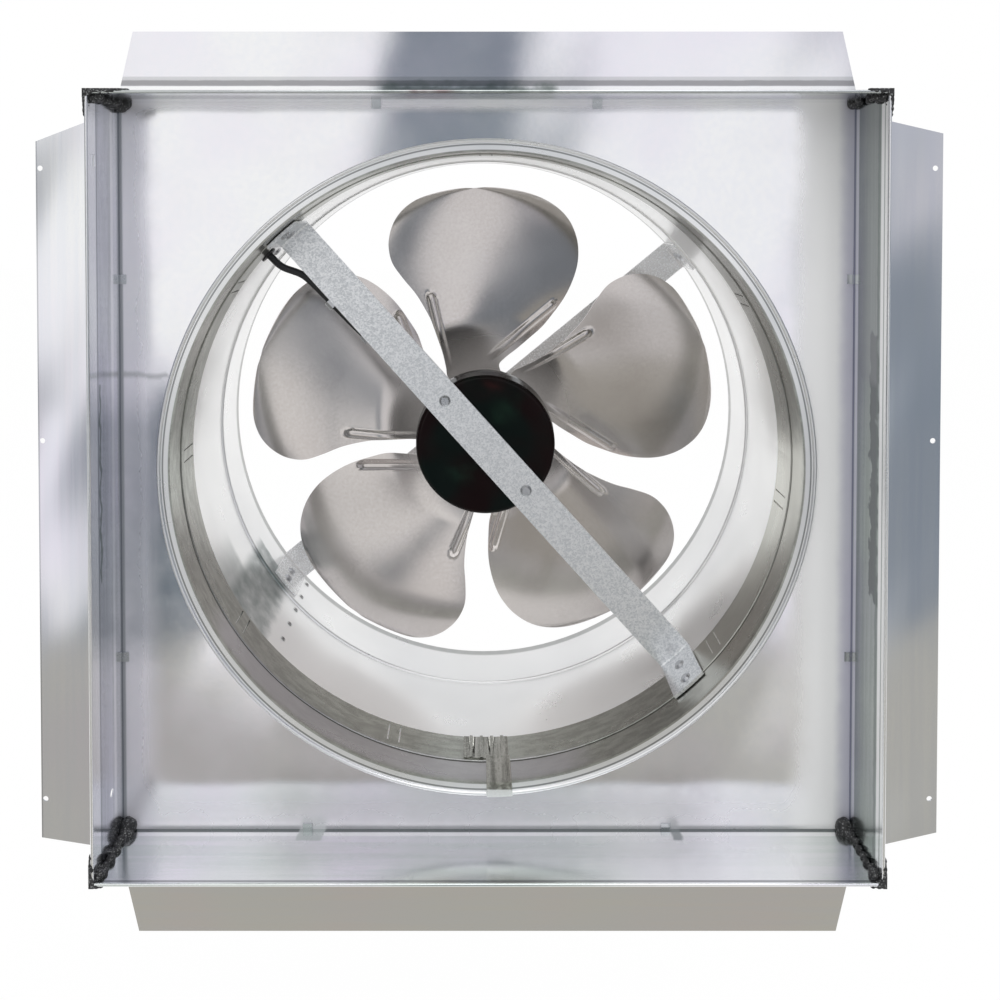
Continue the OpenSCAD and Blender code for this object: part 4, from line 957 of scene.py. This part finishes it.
# Soft lights and dark places of the studio in front of the fan, as metal that faces forwards mirrors
# them. Each has its left, right, bottom and top side, as x and z at a distance of 1, the softness of
# its sides and its colour.
STUDIO_CARDS = [
    (-3.0, 3.0, -3.0, -0.43, 0.06, (0.44, 0.43, 0.40)),
    (-3.0, 3.0, 0.35, 9.0, 0.2, (0.95, 0.95, 0.96)),
    (-3.0, -0.475, -0.25, 0.3, 0.05, (0.35, 0.34, 0.34)),
    (-0.46, -0.10, -0.19, 9.0, 0.06, (1.0, 1.0, 1.0)),
    (-0.28, -0.09, -0.5, -0.1, 0.05, (1.0, 0.99, 0.99)),
    (-0.475, -0.388, -0.42, -0.19, 0.04, (0.98, 0.97, 1.0)),
    (-0.386, -0.27, -0.43, -0.20, 0.03, (0.17, 0.20, 0.23)),
    (0.075, 0.382, -0.20, 9.0, 0.06, (0.96, 0.96, 0.98)),
    (0.075, 0.30, -0.44, -0.20, 0.08, (0.52, 0.51, 0.50)),
    (0.28, 0.382, -0.44, -0.18, 0.05, (0.96, 0.96, 0.98)),
    (0.40, 3.0, -0.05, 9.0, 0.08, (0.54, 0.54, 0.59)),
    (0.31, 0.39, -0.60, -0.43, 0.04, (0.66, 0.65, 0.62)),
]
ROOM_GREY = (0.24, 0.27, 0.31)

# The same behind the fan, as metal that faces backwards mirrors it. It is white near the fan's
# axis, where the barrel's inside mirrors it, with greys and windows further out.
REAR_CARDS = [
    (-0.60, 0.60, -0.60, 0.60, 0.4, (1.0, 1.0, 1.0)),
    (0.17, 0.24, -0.10, 0.75, 0.06, (0.74, 0.75, 0.78)),
    (-0.24, -0.15, 0.10, 0.75, 0.06, (0.84, 0.84, 0.86)),
    (0.95, 1.5, -0.5, 1.2, 0.2, (0.74, 0.74, 0.76)),
    (-1.4, -1.0, -0.3, 1.6, 0.2, (0.68, 0.68, 0.70)),
    (-9.0, 9.0, 1.0, 9.0, 0.5, (0.80, 0.80, 0.82)),
    (-9.0, 9.0, -9.0, -0.8, 0.3, (0.52, 0.51, 0.49)),
]
REAR_GREY = (0.30, 0.32, 0.35)
# The least depth that a direction's x and z are divided by
LEAST_DEPTH = 0.05
# Where the front room passes into the rear one, as a share of y, for metal and for other surfaces
MIRRORED_TURN = (-0.12, 0.05)
LIGHT_TURN = (-0.2, 0.5)
# The light from below and from above, in front of the fan and behind it
FRONT_LIGHT = ((0.62, 0.62, 0.62), (1.22, 1.22, 1.22))
REAR_LIGHT = ((0.42, 0.42, 0.42), (0.76, 0.76, 0.76))
LAMP_AT = (0.2, -0.4, 1.6)
LAMP_SIZE = 1.2
LAMP_WATTS = 8


def room(s, way, away, cards, grey):
    """The colour of a room of cards in each direction, on the side where y has the sign of away."""
    x, y, z = way
    depth = s.math("MAXIMUM", s.math("MULTIPLY", y, away), LEAST_DEPTH)
    across = s.math("DIVIDE", x, depth)
    up = s.math("DIVIDE", z, depth)
    color = grey
    for left, right, bottom, top, soft, tint in cards:
        held = s.math("MULTIPLY", s.band(across, left, right, soft), s.band(up, bottom, top, soft))
        color = s.mix(held, color, tint)
    return color


def add_world():
    """White for the camera, a studio of soft cards for mirrors, and soft light for the rest."""
    world = bpy.data.worlds.new("studio")
    bpy.context.scene.world = world
    s = Shader(world)
    direction = s.node("ShaderNodeTexCoord").outputs["Generated"]
    way = s.node("ShaderNodeSeparateXYZ", {0: direction}).outputs
    front = room(s, way, -1.0, STUDIO_CARDS, ROOM_GREY)
    rear = room(s, way, 1.0, REAR_CARDS, REAR_GREY)
    mirrored = s.mix(s.ramp(way[1], *MIRRORED_TURN), front, rear)
    path = s.node("ShaderNodeLightPath").outputs
    seen = s.mix(path["Is Camera Ray"], mirrored, WHITE)
    direct = s.math("ADD", path["Is Glossy Ray"], path["Is Transmission Ray"], clamp=True)
    direct = s.math("ADD", direct, path["Is Camera Ray"], clamp=True)
    height = s.ramp(way[2], -1.0, 1.0)
    before = s.mix(height, *FRONT_LIGHT)
    behind = s.mix(height, *REAR_LIGHT)
    soft = s.mix(s.ramp(way[1], *LIGHT_TURN), before, behind)
    light = s.mix(direct, soft, seen)
    background = s.node("ShaderNodeBackground", {"Color": light, "Strength": 1.0})
    s.node("ShaderNodeOutputWorld", {"Surface": background.outputs[0]})


def add_lamp():
    """A soft lamp above the fan, aimed at the frame's origin."""
    data = bpy.data.lights.new("overhead", "AREA")
    data.shape = "SQUARE"
    data.size = LAMP_SIZE
    data.energy = LAMP_WATTS
    lamp = bpy.data.objects.new("overhead", data)
    lamp.location = LAMP_AT
    lamp.rotation_euler = (-Vector(LAMP_AT)).to_track_quat("-Z", "Y").to_euler()
    bpy.context.scene.collection.objects.link(lamp)


add_camera()
dress_nodes()
make_fan()
make_lead()
make_sealant()
add_floor()
add_world()
add_lamp()
bpy.context.scene.view_settings.view_transform = "Standard"
